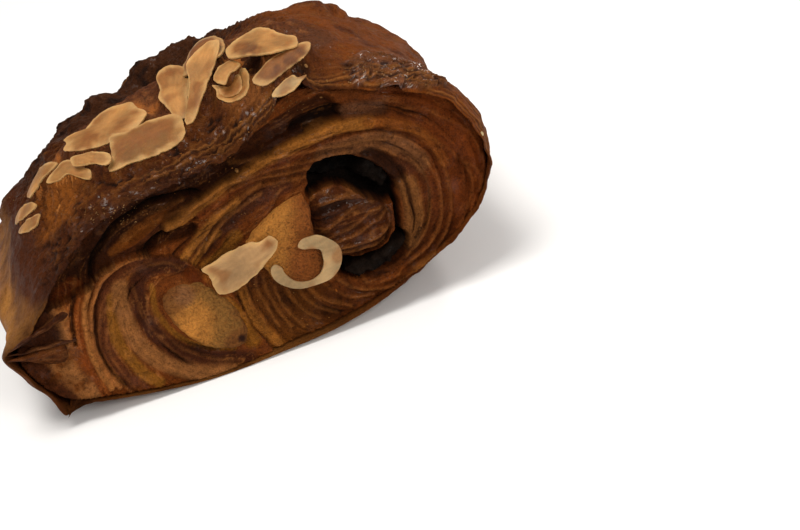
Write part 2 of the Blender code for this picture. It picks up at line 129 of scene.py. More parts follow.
panel("overhead", (-0.2, -0.1, 0.9), 0.5, 7.0)
panel("front", (0.3, -0.8, 0.5), 0.35, 4.0)
panel("window", (0.57, 0.37, 0.6), 0.15, 1.7)

bpy.ops.mesh.primitive_plane_add(size=FLOOR_WIDTH)
floor = bpy.context.object
floor.name = "floor"
floor_paint = bpy.data.materials.new("floor paint")
floor_paint.use_nodes = True
floor_finish = floor_paint.node_tree.nodes["Principled BSDF"].inputs
floor_finish["Base Color"].default_value = FLOOR_COLOUR
floor_finish["Roughness"].default_value = FLOOR_ROUGHNESS
floor.data.materials.append(floor_paint)
floor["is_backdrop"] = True


# Crust: the outer skin of the roll, many leaves of dough baked dark, glazed and sugared. It wraps the roll
# once, lies flat underneath, and ends in a torn lip at both ends.
DEPTH = 79.0
LEAN = 8.0
CROWN = 58.0
# the roll's section grows by these shares, across and up, in the middle, and shrinks towards the back end
BULGE = np.array((0.07, 0.21))
BACK_ROUNDING = 0.03
BACK_TAPER = np.array((0.05, 0.1))
MIDDLE = np.array((0.0, 23.0))
OUTLINE = [
    (20, 55.5), (37, 50.5), (47, 46), (53, 40), (56, 32), (55.5, 24), (50, 16), (40, 10), (27, 4.8),
    (12, 1.5), (-2, 0.5), (-16, 0), (-30, 1.5), (-42, 4), (-50, 6.5), (-55.5, 13), (-57, 20), (-52, 24.5),
    (-44.5, 32), (-37, 38.5), (-30, 43), (-12, 46), (-3, 47), (4, 50), (11.5, 53.5),
]
# crags, dips and lumps: the middle of each, its radius, and how far it stands out
CRAGS = [
    ((-9, 27, 48), 8, 4.5), ((-1, 25, 50), 10, 6.0), ((7, 22, 53), 7, 1.5), ((34, 12, 59), 8, 1.8),
    ((-28, 25, 46), 7, 2.0), ((-19, 21, 48), 7, 3.0), ((-49, 26, 29), 9, 2.8), ((4, -22, 53), 9, 1.6),
    ((57, -23, 35), 13, 1.0),
]
DIPS = [
    ((53, -4, 46), 26, -5.3), ((50, 14, 50), 12, -2.6), ((22, 21, 59), 12, -3.8), ((21, 14, 61), 10, -2.0),
    ((-36, 23, 42), 7, -1.1), ((-57, 12, 20), 20, -3.2), ((-57, 28, 21), 10, -2.2),
]
LUMPS = [
    ((-34, 9, 46), 5, 1.2), ((-27, 15, 48), 5, 1.5), ((-19, 20, 49), 5, 1.8), ((-4, 22, 52), 6, 1.6),
    ((30, 8, 60), 7, 1.2), ((41, 12, 55), 6, 1.4), ((8, 14, 58), 5, 0.8),
]
BUMP = 0.9
BUMP_SIZE = 9.0
AROUND = 720
ALONG = 200
INSIDE_ROWS = 8
WALL = 0.9
INNER_LENGTH = 0.985
ROW_CROWDING = 1.12
LIP_EDGE = 0.7
# corners of the lip that are pulled out: the place of each in (x, z), its pull, and the radius that follows
TIPS = [((-56.5, 19.5), (-3.2, 1.2), 6.0), ((-50, 6.8), (-1.2, -3.2), 6.0)]
TIP_REACH = 9.0
LEFT_EDGE = -58
# torn leaves that end in steps: how far each ends from the lip, and how thick it is
LEAVES = [(1.0, 0.35), (2.3, 0.4), (3.9, 0.35), (5.8, 0.3)]
# spots of the skin: the middle of each and its radii
GLAZE_SPOT = ((40, -26, 50), (12, 7, 9))
TOASTED_SPOT = ((-37, -17, 42), (9, 9, 9))
SMEARED_SPOT = ((26, -13, 59), (7, 6, 9))
GOLDEN_GAP = ((9.5, -22, 57), (7, 6, 9))
# large odd numbers that turn the cell of a place into its own slopes
STIR = (374761393, 668265263, 2147483629)
STIR_AGAIN = 1274126177


def smooth_line(points, step, closed=False):
    """Return points about one step apart along a smooth curve through the given ones, as rows."""
    knots = np.array(points, float)
    count = len(knots)
    fine = []
    for i in range(count if closed else count - 1):
        near = [(i + k) % count if closed else min(max(i + k, 0), count - 1) for k in (-1, 0, 1, 2)]
        a, b, c, d = knots[near]
        for t in np.linspace(0, 1, 16, endpoint=False):
            pull = (c - a) * t + (2 * a - 5 * b + 4 * c - d) * t**2 + (3 * b - a - 3 * c + d) * t**3
            fine.append(b + pull / 2)
    fine.append(knots[0] if closed else knots[-1])
    fine = np.array(fine)
    run = np.concatenate(([0], np.cumsum(np.linalg.norm(np.diff(fine, axis=0), axis=1))))
    steps = max(3, round(run[-1] / step))
    wanted = np.linspace(0, run[-1], steps + 1)[: steps if closed else None]
    return np.stack([np.interp(wanted, run, column) for column in fine.T], axis=1)


def lumps(places, size, seed=0):
    """Smooth noise from about -1 to 1 at each place in millimetres, its lumps about one size apart."""
    spot = places / size + seed * 31.7
    cell = np.floor(spot)
    inside = spot - cell
    ease = inside**3 * (inside * (inside * 6 - 15) + 10)
    total = np.zeros(len(places))
    for corner in itertools.product((0, 1), repeat=3):
        at = (cell + corner).astype(np.int64)
        mix = (at * STIR).sum(axis=1)
        mix = (mix ^ (mix >> 13)) * STIR_AGAIN
        mix ^= mix >> 16
        weight = np.ones(len(places))
        value = np.zeros(len(places))
        for axis in range(3):
            weight *= ease[:, axis] if corner[axis] else 1 - ease[:, axis]
            slope = ((mix >> (10 * axis)) & 1023) / 511.5 - 1
            value += slope * (inside[:, axis] - corner[axis])
        total += weight * value
    return total * 1.6


def ramp(value, start, end):
    """Go smoothly from 0 at start to 1 at end."""
    share = np.clip((value - start) / (end - start), 0, 1)
    return share * share * (3 - 2 * share)


def paint(red, green, blue):
    """Turn a colour as a screen shows it, 0 to 255, into the light that it stands for."""
    screen = np.array((red, green, blue)) / 255
    return np.where(screen <= 0.04045, screen / 12.92, ((screen + 0.055) / 1.055) ** 2.4)


def lay(under, over, share):
    """Lay one colour over others by a share at each place."""
    return under + (over - under) * np.clip(share, 0, 1)[:, None]


def lay_all(first, washes):
    """Start from one colour and lay others over it in turn, each by its share at each place."""
    tints = np.tile(first, (len(washes[0][1]), 1))
    for colour, share in washes:
        tints = lay(tints, colour, share)
    return tints


def from_spot(places, middle, radii):
    """Say how far each place is from the middle of a spot, counted so that its rim is at 1."""
    return np.linalg.norm((places - middle) / radii, axis=1)


def across_from(places, x, z):
    """Say how far each place is from a line along the roll, at x and z."""
    return np.hypot(places[:, 0] - x, places[:, 2] - z)


def half_depth(z):
    """Return how far each end is from the middle of the roll at height z."""
    return DEPTH / 2 - LEAN * z / CROWN


def new_piece(name, add_shape, **numbers):
    """Add a plain shape as the one selected piece, and name it."""
    bpy.ops.object.select_all(action="DESELECT")
    add_shape(**numbers)
    piece = bpy.context.object
    piece.name = name
    return piece


def edit_all(tool, **numbers):
    """Use a mesh tool on the whole of the active piece."""
    bpy.ops.object.mode_set(mode="EDIT")
    bpy.ops.mesh.select_all(action="SELECT")
    tool(**numbers)
    bpy.ops.object.mode_set(mode="OBJECT")


def points_of(piece, unit=MM):
    """Return a piece's points as rows, in millimetres or in another unit."""
    return np.array([v.co for v in piece.data.vertices]) / unit

def put_points(piece, places):
    """Move a piece's points to places in millimetres."""
    piece.data.vertices.foreach_set("co", (np.asarray(places) * MM).ravel())
    piece.data.update()


def put_colour(piece, colours, gloss):
    """Store the colour and the gloss of each point of a piece for its material."""
    count = len(piece.data.vertices)
    tint = piece.data.attributes.new("tint", "FLOAT_COLOR", "POINT")
    tint.data.foreach_set("color", np.concatenate((colours, np.ones((count, 1))), axis=1).ravel())
    shine = piece.data.attributes.new("gloss", "FLOAT", "POINT")
    shine.data.foreach_set("value", np.broadcast_to(gloss, count).astype(np.float32))


def outward(piece):
    """Turn all faces of a closed piece outwards and shade it smooth."""
    bpy.ops.object.select_all(action="DESELECT")
    piece.select_set(True)
    bpy.context.view_layer.objects.active = piece
    edit_all(bpy.ops.mesh.normals_make_consistent, inside=False)
    bpy.ops.object.shade_smooth()


def stand_for(piece, node, material):
    """Give a finished piece its material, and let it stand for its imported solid."""
    piece.data.materials.append(material)
    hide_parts(node)
    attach(piece, "root")


class Shade:
    """One socket of a material's nodes. Arithmetic with it adds Math nodes."""

    def __init__(self, tree, socket=None):
        self.tree = tree
        self.socket = socket

    def node(self, kind, settings=None, sockets=None, output=0):
        """Add a node, make its settings, then fill its sockets with values or links."""
        made = self.tree.nodes.new(kind)
        for name, value in (settings or {}).items():
            setattr(made, name, value)
        for name, value in (sockets or {}).items():
            if isinstance(value, Shade):
                self.tree.links.new(value.socket, made.inputs[name])
            else:
                made.inputs[name].default_value = value
        return Shade(self.tree, made.outputs[output])

    def math(self, operation, first, second):
        return self.node("ShaderNodeMath", {"operation": operation}, {0: first, 1: second})

    def __add__(self, other):
        return self.math("ADD", self, other)

    def __radd__(self, other):
        return self.math("ADD", other, self)

    def __sub__(self, other):
        return self.math("SUBTRACT", self, other)

    def __rsub__(self, other):
        return self.math("SUBTRACT", other, self)

    def __mul__(self, other):
        return self.math("MULTIPLY", self, other)




def new_material(name, constants):
    """Start a material with its shader's constant values, and return it, its nodes and its shader."""
    made = bpy.data.materials.new(name)
    made.use_nodes = True
    shader = made.node_tree.nodes["Principled BSDF"]
    for socket, value in constants.items():
        shader.inputs[socket].default_value = value
    return made, Shade(made.node_tree), shader


def join(shade, shader, links):
    """Link what changes over the surface to the shader."""
    for socket, value in links.items():
        shade.tree.links.new(value.socket, shader.inputs[socket])


def grain(shade, place, scale, detail=2.0, rough=0.5):
    """Noise from 0 to 1 on the piece, with this many lumps to the metre."""
    sockets = {"Vector": place, "Scale": scale, "Detail": detail, "Roughness": rough}
    return shade.node("ShaderNodeTexNoise", {}, sockets)


def stored(shade, name, output):
    """What a piece stores for each point under a name: a colour at output 0, or a number at output 2."""
    return shade.node("ShaderNodeAttribute", {"attribute_name": name}, output=output)


def stretch(shade, value, low, high):
    """Stretch a value so that it goes from 0 at low to 1 at high."""
    return shade.node("ShaderNodeMapRange", {}, {"Value": value, "From Min": low, "From Max": high})


def lit(shade, colour, light):
    """Make a colour lighter or darker."""
    return shade.node("ShaderNodeVectorMath", {"operation": "SCALE"}, {0: colour, "Scale": light})


def warmed_tint(shade, warmth):
    """The painted tint, each of its three lights made weaker by its own share."""
    sockets = {0: stored(shade, "tint", 0), 1: warmth}
    return shade.node("ShaderNodeVectorMath", {"operation": "MULTIPLY"}, sockets)


def relief(shade, strength, deep, height):
    """Fine relief, so many metres deep, that only the light shows."""
    return shade.node("ShaderNodeBump", {}, {"Strength": strength, "Distance": deep, "Height": height})


BAKED_WARMTH = (1.0, 0.93, 0.66)
GLAZE_TINT = (1.0, 0.86, 0.7, 1)


def baked_dough(name, mottle, speck, rough, fine, leaves=0.0, deep=0.0005):
    """Baked dough: the painted tint, mottled, specked and drawn with thin leaves, under an uneven glaze."""
    made, shade, shader = new_material(name, {
        "Specular IOR Level": 0.06, "Coat Roughness": 0.14, "Coat IOR": 1.5, "Coat Tint": GLAZE_TINT,
    })
    place = shade.node("ShaderNodeTexCoord", output=3)
    gloss = stored(shade, "gloss", 2)
    patches = grain(shade, place, 260, 3.0, 0.6)
    specks = grain(shade, place, 1300, 3.0, 0.7)
    crumb = grain(shade, place, 3400, 2.0, 0.6)
    light = (1 - mottle) + patches * (2 * mottle)
    light = light * (1 - stretch(shade, specks, 0.5, 0.72) * speck) * (1 + (crumb - 0.5) * fine * 0.9)
    height = specks * rough + crumb * fine
    if leaves:
        leaf = stored(shade, "leaf", 2)
        across, upward = (shade.node("ShaderNodeSeparateXYZ", {}, {0: place}, output=k) for k in (0, 2))
        line = shade.node("ShaderNodeCombineXYZ", {}, {0: leaf * 4.6, 1: across * 70, 2: upward * 70})
        thin = grain(shade, line, 1.0, 2.0, 0.7)
        light = light * ((1 - leaves) + thin * (2 * leaves))
        height = height + thin * 0.6
    join(shade, shader, {
        "Base Color": lit(shade, warmed_tint(shade, BAKED_WARMTH), light),
        "Roughness": 0.72 - gloss * 0.3 + (specks - 0.5) * 0.35,
        "Coat Weight": gloss * stretch(shade, patches, 0.42, 0.68) * gloss * gloss,
        "Normal": relief(shade, 1.0, deep, height),
    })
    return made


def bumps(places):
    """Return the crust's bumps and crags at places in millimetres, nothing on the base."""
    rise = np.clip(places[:, 2] / 8, 0, 1)
    wave = np.array([noise.noise(place / BUMP_SIZE) for place in map(Vector, places)])
    height = BUMP * rise * wave
    for middle, radius, top in CRAGS + DIPS + LUMPS:
        away = ((places - middle) ** 2).sum(axis=1)
        height += top * np.clip(1 - away / radius**2, 0, 1) ** 1.5
    return height


def loaf(flat, t, inset):
    """Place section points (x, z) on the loaf, at t from -1 at the front end to 1 at the back end."""
    out = flat - MIDDLE
    outward_way = out / np.linalg.norm(out, axis=1)[:, None]
    along = t[:, None]
    to_back = np.clip(along, 0, 1)
    growth = 1 + BULGE * (1 - along * along) - BACK_ROUNDING * to_back**8 - BACK_TAPER * to_back**2
    shifted = MIDDLE + out * growth - outward_way * inset[:, None]
    places = np.stack((shifted[:, 0], t * half_depth(flat[:, 1]), shifted[:, 1]), axis=1)
    return places, outward_way


rows = ALONG + INSIDE_ROWS
crust = new_piece("crust", bpy.ops.mesh.primitive_grid_add, size=2,
                  x_subdivisions=AROUND, y_subdivisions=rows)
unit = (points_of(crust, 1) + 1) / 2
column = np.rint(unit[:, 0] * AROUND).astype(int) % AROUND
row = np.rint(unit[:, 1] * rows).astype(int) % rows
put_points(crust, np.stack((column, row, 0 * row), axis=1))
edit_all(bpy.ops.mesh.remove_doubles, threshold=0.0001)
column, row = np.rint(points_of(crust)[:, :2]).astype(int).T
section = smooth_line(OUTLINE, 0.1, closed=True)
section = section[np.linspace(0, len(section), AROUND, endpoint=False).astype(int)]
spread = np.linspace(-1, 1, ALONG)
spread = np.sign(spread) * (1 - (1 - np.abs(spread)) ** ROW_CROWDING)
rows_t = np.concatenate((spread, np.linspace(1, -1, INSIDE_ROWS + 2)[1:-1] * INNER_LENGTH))
from_lip = (1 - np.abs(spread)) * DEPTH / 2
rounding = WALL * 0.35 * np.clip(1 - from_lip / LIP_EDGE, 0, 1) ** 2
rows_inset = np.concatenate((rounding, np.full(INSIDE_ROWS, WALL)))
flat = section[column]
t = rows_t[row]
inset = rows_inset[row]
skin = row < ALONG
places, way = loaf(flat, t, inset)
x, y, z = places.T
lip = (1 - np.abs(t)) * half_depth(flat[:, 1])
crown = ramp(z, 20, 34)
above_base = ramp(z, 1.5, 7)
front = t < 0

# zones of the skin, each from 0 to 1
rough_zone = ramp(x + 3 * lumps(places, 9, 60), 32, 20) * ramp(x, -50, -44) * crown
caramel_zone = ramp(x + 0.25 * y, 15, 28) * above_base
left_zone = ramp(x, -41, -47) * above_base
glaze_zone = ramp(from_spot(places, *GLAZE_SPOT) + 0.35 * lumps(places, 4, 3), 1.1, 0.8)
lip_zone = ramp(lip, 7.0, 1.0) * above_base


def creases(places, size, seed):
    """Sharp crests from 0 to 1 between soft hollows, as in crumpled and blistered crust."""
    bent = places + 0.35 * size * np.stack([lumps(places, size, seed + k) for k in (400, 401, 402)], axis=1)
    return 1 - np.minimum(1, 2.2 * np.abs(lumps(bent, size, seed)))


crumple = creases(places * (0.7, 1, 1), 3.6, 2)
small_crumple = creases(places, 1.7, 3)
push = bumps(places)
push += above_base * (0.35 * lumps(places, 5, 1) + 0.1 * lumps(places, 1.8, 11))
grains = lumps(places, 1.1, 13)
push += rough_zone * (0.6 * crumple + 0.4 * small_crumple + 0.38 * grains + 0.2 * lumps(places, 0.7, 4) - 0.4)
push += left_zone * (0.45 * lumps(places * (1, 0.6, 1), 5, 5) + 0.3 * crumple * ramp(z, 24, 34))
push += caramel_zone * (0.3 * creases(places * (1, 0.5, 1), 4, 7) + 0.12 * lumps(places, 1.3, 8))
glaze_folds = creases(places * (0.8, 1, 1), 2.2, 9)
push += glaze_zone * (0.25 + 1.3 * glaze_folds + 0.5 * lumps(places, 1.1, 12))
leaf_edge = np.zeros(len(places))
leaf_foot_shadow = np.zeros(len(places))
stretched = np.stack((x, np.sign(t) * 40, z), axis=1)
for k, (distance, step) in enumerate(LEAVES):
    wander = distance + 0.75 * lumps(stretched, 9, 10 + k) + 0.35 * lumps(stretched, 2.2, 20 + k)
    torn = np.clip(0.75 + lumps(stretched, 13, 30 + k), 0, 1) * ramp(x * front, -32, -12)
    push += above_base * step * torn * (ramp(lip, wander - 0.15, wander + 0.15) - 1)
    leaf_edge = np.maximum(leaf_edge, torn * np.exp(-((lip - wander - 0.3) / 0.3) ** 2))
    leaf_foot_shadow = np.maximum(leaf_foot_shadow, torn * np.exp(-((lip - wander + 0.3) / 0.3) ** 2))
ragged = 0.7 * lumps(stretched, 5, 40) + 0.45 * lumps(stretched, 1.7, 41)
push = np.where(skin, push, bumps(places) * 0.9 - 0.2)
places[:, 0] += way[:, 0] * push
places[:, 2] += way[:, 1] * push
places[:, 1] -= np.sign(t) * ramp(lip, 3.0, 0.0) * (0.5 + ragged * above_base)
places[:, 0] += np.clip(-50 - x, 0, 20) * 0.22 * ramp(lip, 4, 16)
for start, pull, radius in TIPS:
    beside = np.hypot(flat[:, 0] - start[0], flat[:, 1] - start[1])
    share = np.clip(1 - beside / radius, 0, 1) ** 1.6 * ramp(lip, TIP_REACH, 0.5) * front
    places[:, 0] += pull[0] * share
    places[:, 2] += pull[1] * share
places[:, 2] = np.maximum(z, inset * 0.6)
places[:, 0] -= 0.25 * np.minimum(0, x - LEFT_EDGE)
put_points(crust, places)

# the skin's colours, from the whole down to the finest marks
purple = ramp(y, 2, 14) * crown * ramp(x, 30, 16)
skin_height = z + 4 * lumps(places, 12, 66) + 2 * lumps(places, 4, 67)
tan_side = left_zone * ramp(skin_height, 31, 24) * ramp(skin_height, 10, 18)
tan_side = tan_side * (0.75 + 0.7 * lumps(places, 5, 56)) * (0.5 + 0.5 * ramp(y, 4, -18))
toasted_patch = ramp(from_spot(places, *TOASTED_SPOT) + 0.4 * lumps(places, 3, 68), 1.1, 0.5)
low_corner = ramp(x, -45, -50) * ramp(z, 22, 17) * ramp(lip, 12, 6)
tints = lay_all(paint(84, 42, 14), [
    (paint(108, 60, 22), 0.5 + lumps(places, 7, 50)),
    (paint(58, 26, 9), ramp(lumps(places, 11, 58), 0.0, 0.5) * 0.7),
    (paint(66, 31, 11), rough_zone * (0.8 + 0.5 * lumps(places, 4, 51))),
    (paint(104, 60, 25), rough_zone * 0.7 * ramp(lumps(places, 3.4, 52) + 0.5 * grains, 0.1, 0.6)),
    # painted highlight on the crests of the crumpled crust, and painted shade in its pits
    (paint(112, 68, 34), rough_zone * 0.6 * ramp(small_crumple + crumple, 1.3, 1.8)),
    (paint(30, 12, 4), rough_zone * ramp(crumple + 0.7 * small_crumple + 0.5 * grains, 0.6, 0.1)),
    (paint(74, 42, 26), rough_zone * 0.5 * ramp(lumps(places, 3.2, 59), 0.2, 0.5)),
    (paint(117, 60, 16), caramel_zone * (0.8 + 0.4 * lumps(places, 6, 54))),
    (paint(78, 36, 12), caramel_zone * ramp(lumps(places, 5, 55) + 0.3 * grains, -0.1, 0.8) * 0.9),
    (paint(116, 70, 34), caramel_zone * ramp(lumps(places, 2.4, 61) + 0.4 * grains, 0.2, 0.6) * 0.6),
    (paint(60, 33, 20), purple * 0.85),
    (paint(34, 16, 9), purple * ramp(lumps(places, 3, 62), 0.1, 0.5)),
    (paint(76, 38, 20), left_zone * ramp(skin_height, 23, 32)),
    (paint(170, 117, 62), tan_side),
    (paint(104, 66, 46), glaze_zone * 0.7),
    # painted shade in the hollows between the glaze's folds
    (paint(48, 21, 10), glaze_zone * ramp(glaze_folds, 0.6, 0.1)),
    (paint(132, 76, 30), toasted_patch * (0.8 + 0.5 * grains)),
    (paint(84, 50, 36), ramp(from_spot(places, *SMEARED_SPOT), 1.2, 0.7) * 0.8),
    (paint(128, 78, 44), ramp(from_spot(places, *GOLDEN_GAP), 1.2, 0.7) * (0.8 + 0.4 * grains)),
    (paint(150, 98, 56), leaf_edge * 0.7 * above_base),
    # painted shadow at the foot of each torn leaf's step
    (paint(34, 14, 6), leaf_foot_shadow * 0.8 * above_base),
    (paint(50, 22, 9), lip_zone * 0.7 * ramp(x, 12, -14)),
    (paint(100, 54, 22), low_corner * (0.8 + 0.5 * lumps(places, 4, 65))),
    (paint(128, 82, 42), (1 - ramp(z, 0.5, 5)) * (0.8 + 0.5 * lumps(places, 6, 63))),
])
tints = np.where(skin[:, None], tints, paint(50, 23, 10))
glints = rough_zone * ramp(lumps(places, 1.6, 64), 0.05, 0.4)
gloss = 0.2 + 0.14 * caramel_zone + 1.0 * glaze_zone + 0.12 * left_zone + 0.2 * rough_zone
gloss += glints * (0.12 + 0.34 * ramp(lip, 14, 5))
gloss *= 0.35 + 0.65 * above_base
put_colour(crust, tints, np.clip(gloss, 0, 1))
crust_material = baked_dough("baked crust", 0.34, 0.5, 0.9, 0.6, 0.0, 0.0009)
outward(crust)
stand_for(crust, "pastry", crust_material)


# Torn scraps of the lip: pinched, pointed corners of crust that stick out at the left of the front end. They
# are the same dough, pulled out by hand when the roll was shaped, and baked hard and dark.

# each: the middle of its foot, its tip, its radius, how flat it is and its colour
SCRAPS = {
    "pinched_fold": ((-44.0, -31.4, 25.2), (-59.2, -36.6, 22.0), 3.2, 0.5, paint(64, 32, 17)),
    "pinched_scrap": ((-42.5, -31.6, 18.4), (-59.2, -36.6, 21.6), 3.4, 0.36, paint(60, 30, 16)),
    "corner_scrap": ((-48.0, -32.6, 17.0), (-59.4, -36.8, 20.6), 4.2, 0.8, paint(84, 44, 18)),
    "low_scrap": ((-46.4, -31.8, 7.6), (-51.6, -36.6, 2.2), 4.0, 0.45, paint(92, 50, 20)),
}
SCRAP_CUTS = 7


def torn_scrap(name, start, end, radius, flatness, colour):
    """Make one pointed scrap: a flattened cone, subdivided, curled and crumpled."""
    way = Vector(end) - Vector(start)
    piece = new_piece(name, bpy.ops.mesh.primitive_cone_add, vertices=40, radius1=1, radius2=0.04, depth=1)
    edit_all(bpy.ops.mesh.subdivide, number_cuts=SCRAP_CUTS)
    shape = points_of(piece, 1)
    along = shape[:, 2] + 0.5
    slim = (1 - along) ** 0.35
    wide = shape[:, 0] * radius * slim
    thick = shape[:, 1] * radius * flatness * slim
    places = np.stack((wide, thick, along * way.length), axis=1)
    places[:, 0] += 1.1 * np.sin(along * 2.6)
    turned = places @ np.array(way.to_track_quat("Z", "Y").to_matrix()).T + start
    turned += 0.45 * np.stack([lumps(turned, 2.4, 430 + k) for k in range(3)], axis=1)
    turned[:, 2] = np.maximum(turned[:, 2], 0.3)
    put_points(piece, turned)
    marks = creases(turned * (0.4, 1, 1), 1.6, 436)
    tints = lay_all(colour, [
        # painted highlight on the crests of the scrap's creases, and painted shade in its hollows
        (paint(112, 72, 46), ramp(marks, 0.7, 1.0) * 0.6),
        (paint(36, 16, 9), ramp(marks, 0.35, 0.0) * 0.6),
    ])
    put_colour(piece, tints, 0.45)
    outward(piece)
    stand_for(piece, "pastry", crust_material)


for name, spec in SCRAPS.items():
    torn_scrap(name, *spec)


# Layered ends: the cut and baked edges of the laminated dough, a coil of thin leaves round a knob of dough
# and a smaller lobe. Each leaf stands out of its own accord, and dark gaps run between them, partly painted
# shade.
FACE_PITCH = 0.26
FACE_EDGE = 0.5
FACE_BACK = 15.0
FACE_BRIGHTNESS = 1.44
# the guides follow single leaves: each point is (x, z, number of the leaf that runs there)
OUTER_MARKS = [
    (-52, 24.5, 13), (-44.5, 32, 13), (-37, 38.5, 13), (-30, 43, 13), (-12, 46, 13), (4, 50, 13),
    (20, 55.5, 13), (37, 50.5, 13), (47, 46, 13.5), (53, 40, 14), (56, 32, 14), (55.5, 24, 14),
    (50, 16, 13), (40, 10, 11), (27, 4.8, 9), (18, 2.6, 10), (12, 1.5, 11), (5, 1, 12.6), (-2, 0.5, 14.5),
    (-6, 0.3, 16),
]
LAYER_GUIDES = [
    OUTER_MARKS,
    [(-41, 31, 11), (-34, 37, 11), (-22, 41, 11), (-8, 43.5, 11), (3, 46.5, 11), (14, 50.5, 11),
     (24, 51.3, 11.2), (35, 47.5, 11.6), (45, 42, 12), (50, 34.5, 12), (52.3, 27, 12), (49, 19, 11),
     (41, 13, 9.6), (30, 8, 8)],
    [(-35, 30, 8), (-32, 34, 8), (-24, 36.5, 8), (-13, 38, 8), (-4, 40.8, 8), (6, 43, 8), (17, 44.6, 8),
     (27, 44.6, 8.2), (36, 41.5, 8.6), (44, 36.5, 9), (48, 31, 9), (48.6, 25, 9), (45.5, 17.5, 8.5),
     (37, 11.3, 7.4), (30, 8.8, 6.6)],
    [(-14, 34.5, 5.4), (-5, 37.3, 5.4), (6, 40, 5.4), (18, 40.9, 5), (28, 40.8, 4.6), (36, 38, 4),
     (41.5, 32, 3.8), (42.5, 24, 3.6), (40, 16.5, 3.8), (33, 11.3, 4), (26, 9.4, 4.6), (20, 9, 5.6)],
    [(12, 37.6, 3.4), (20, 39, 3), (29, 38.8, 2.2), (35.5, 34.6, 1.4), (38.3, 29, 1), (38.6, 22, 1),
     (36, 15.8, 1.4), (29.5, 11.4, 2.8), (22, 10.4, 4.4)],
    [(-18, 31, 4), (-9, 34, 4), (-1, 36.5, 4), (8, 37.8, 4), (14, 38, 3.8)],
    [(-17, 28.8, 2.2), (-8, 31.4, 2.2), (0, 34, 2.2), (8, 35.8, 2.4), (13, 36.2, 2.6)],
    [(-14, 26, 0.6), (-9, 29, 0.6), (-3, 31.8, 0.8), (4, 33.6, 1)],
    [(-6.1, 17.3, 15), (-5.7, 12.7, 15), (-3.9, 6.7, 15), (-1.2, 1.1, 14.6)],
    [(-2.1, 15.4, 13), (-2, 10, 13), (0.5, 4, 12.8), (3, 0.6, 12.4)],
    [(1.9, 14.5, 11), (2.8, 8.2, 11), (6.7, 2.5, 11)],
    [(5.5, 13, 9), (7.9, 6.8, 9.2), (12.8, 2.8, 9.6)],
    [(10.2, 11.8, 7), (13, 7, 7.6), (18.1, 3.5, 8.6)],
]
LOBE_GUIDES = [
    [(-52, 24, -3), (-56, 20, -3), (-55, 13, -3), (-50, 7, -3), (-42, 4.5, -2)],
    [(-40.5, 28.4, -0.2), (-42.1, 24, -0.2), (-43.6, 19.5, -0.2), (-44, 13, -0.2), (-43, 7, -0.2)],
    [(-38.6, 28.6, 1), (-40.5, 23.4, 1), (-41.8, 16.6, 1), (-41.8, 9.4, 1), (-40.2, 4.7, 1)],
    [(-25, 31, 2), (-28.6, 30.6, 2), (-32.1, 29.4, 2), (-35.6, 26.5, 2), (-38.6, 21.5, 2), (-39.6, 15, 2),
     (-39, 9, 2), (-37, 3.3, 2)],
    [(-20, 29.3, 4), (-25, 29.6, 4), (-30.5, 27.6, 4), (-34.6, 24, 4), (-37.2, 18, 4), (-37.4, 12, 4),
     (-36, 6.2, 4), (-34, 2.6, 4)],
    [(-17, 27.6, 5.6), (-23, 28.2, 5.6), (-28.4, 26.8, 5.6), (-32.6, 22.8, 5.6), (-34.8, 17, 5.6),
     (-34.3, 10.4, 5.6), (-32.1, 4.9, 5.6), (-29.5, 1.4, 5.6)],
    [(-28.6, 25, 7), (-31, 20.5, 7), (-31.6, 15.5, 7), (-30.4, 11, 7), (-28, 7, 7), (-24.4, 3.2, 7),
     (-19, 0.4, 7)],
    [(-15.5, 26, 9), (-20, 27, 9), (-25.6, 26.4, 9), (-27.6, 22, 9), (-27.4, 17.5, 9), (-26.2, 12.8, 9),
     (-23.6, 8.6, 9), (-20, 5, 9), (-15.1, 2.6, 9), (-9.5, 1.6, 9)],
    [(-15, 23.4, 11), (-21, 24.6, 11), (-24.6, 21, 11), (-25, 17, 11), (-23.6, 12, 11), (-21, 8.6, 11),
     (-16.6, 5.4, 11), (-10, 4, 11)],
    [(-12.6, 21, 13), (-10, 16, 13), (-8.6, 10, 13), (-7, 4, 13)],
]
KNOB_GUIDES = [
    [(14, 33.6, 0), (22.8, 34, 0), (27, 31.6, 0)],
    [(13.6, 30.4, 1.2), (20.5, 30.8, 1.2), (28.4, 28.4, 1.2)],
    [(13.8, 27.6, 2.4), (20.5, 28.2, 2.4), (29, 26.6, 2.4)],
    [(13.8, 25, 3.6), (18.6, 24.8, 3.6), (23.5, 25.4, 3.6), (29.6, 25.2, 3.6)],
    [(14.6, 22.6, 4.8), (20.2, 22.4, 4.8), (24.7, 22.4, 4.8), (30, 23, 4.8)],
    [(15.4, 20.2, 6), (20.7, 19.4, 6), (25.3, 19.2, 6), (30, 20, 6)],
    [(16.6, 17.8, 7.2), (22, 16.8, 7.2), (26.9, 16.2, 7.2), (30, 17, 7.2)],
    [(18, 15.6, 8.4), (23, 14.4, 8.4), (28, 14.2, 8.4)],
]
LOBE_REGION = [
    (-46, 27.2), (-41, 27.6), (-37.5, 28.7), (-34.2, 30.6), (-31.4, 31.9), (-28.6, 32.4), (-26, 32),
    (-23.2, 30.9), (-19.3, 29.9), (-15.6, 27.4), (-13, 23.8), (-10.4, 20.2), (-8.2, 17.2), (-7.4, 13),
    (-6.4, 8), (-4.4, 3), (-2.6, -3), (-70, -3), (-70, 26),
]
KNOB_REGION = [
    (12.8, 28), (14.4, 31), (16.6, 31.8), (19.7, 32.4), (22.1, 31.8), (24, 30.2), (26.3, 27.9),
    (28.8, 25.9), (30.4, 24.1), (31, 21.8), (30.1, 18.8), (28.6, 16.4), (26, 15.4), (22, 15), (17.4, 15.8),
    (14, 19.4), (12.6, 24),
]
TAN = paint(152, 98, 44)
PALE = paint(124, 81, 50)
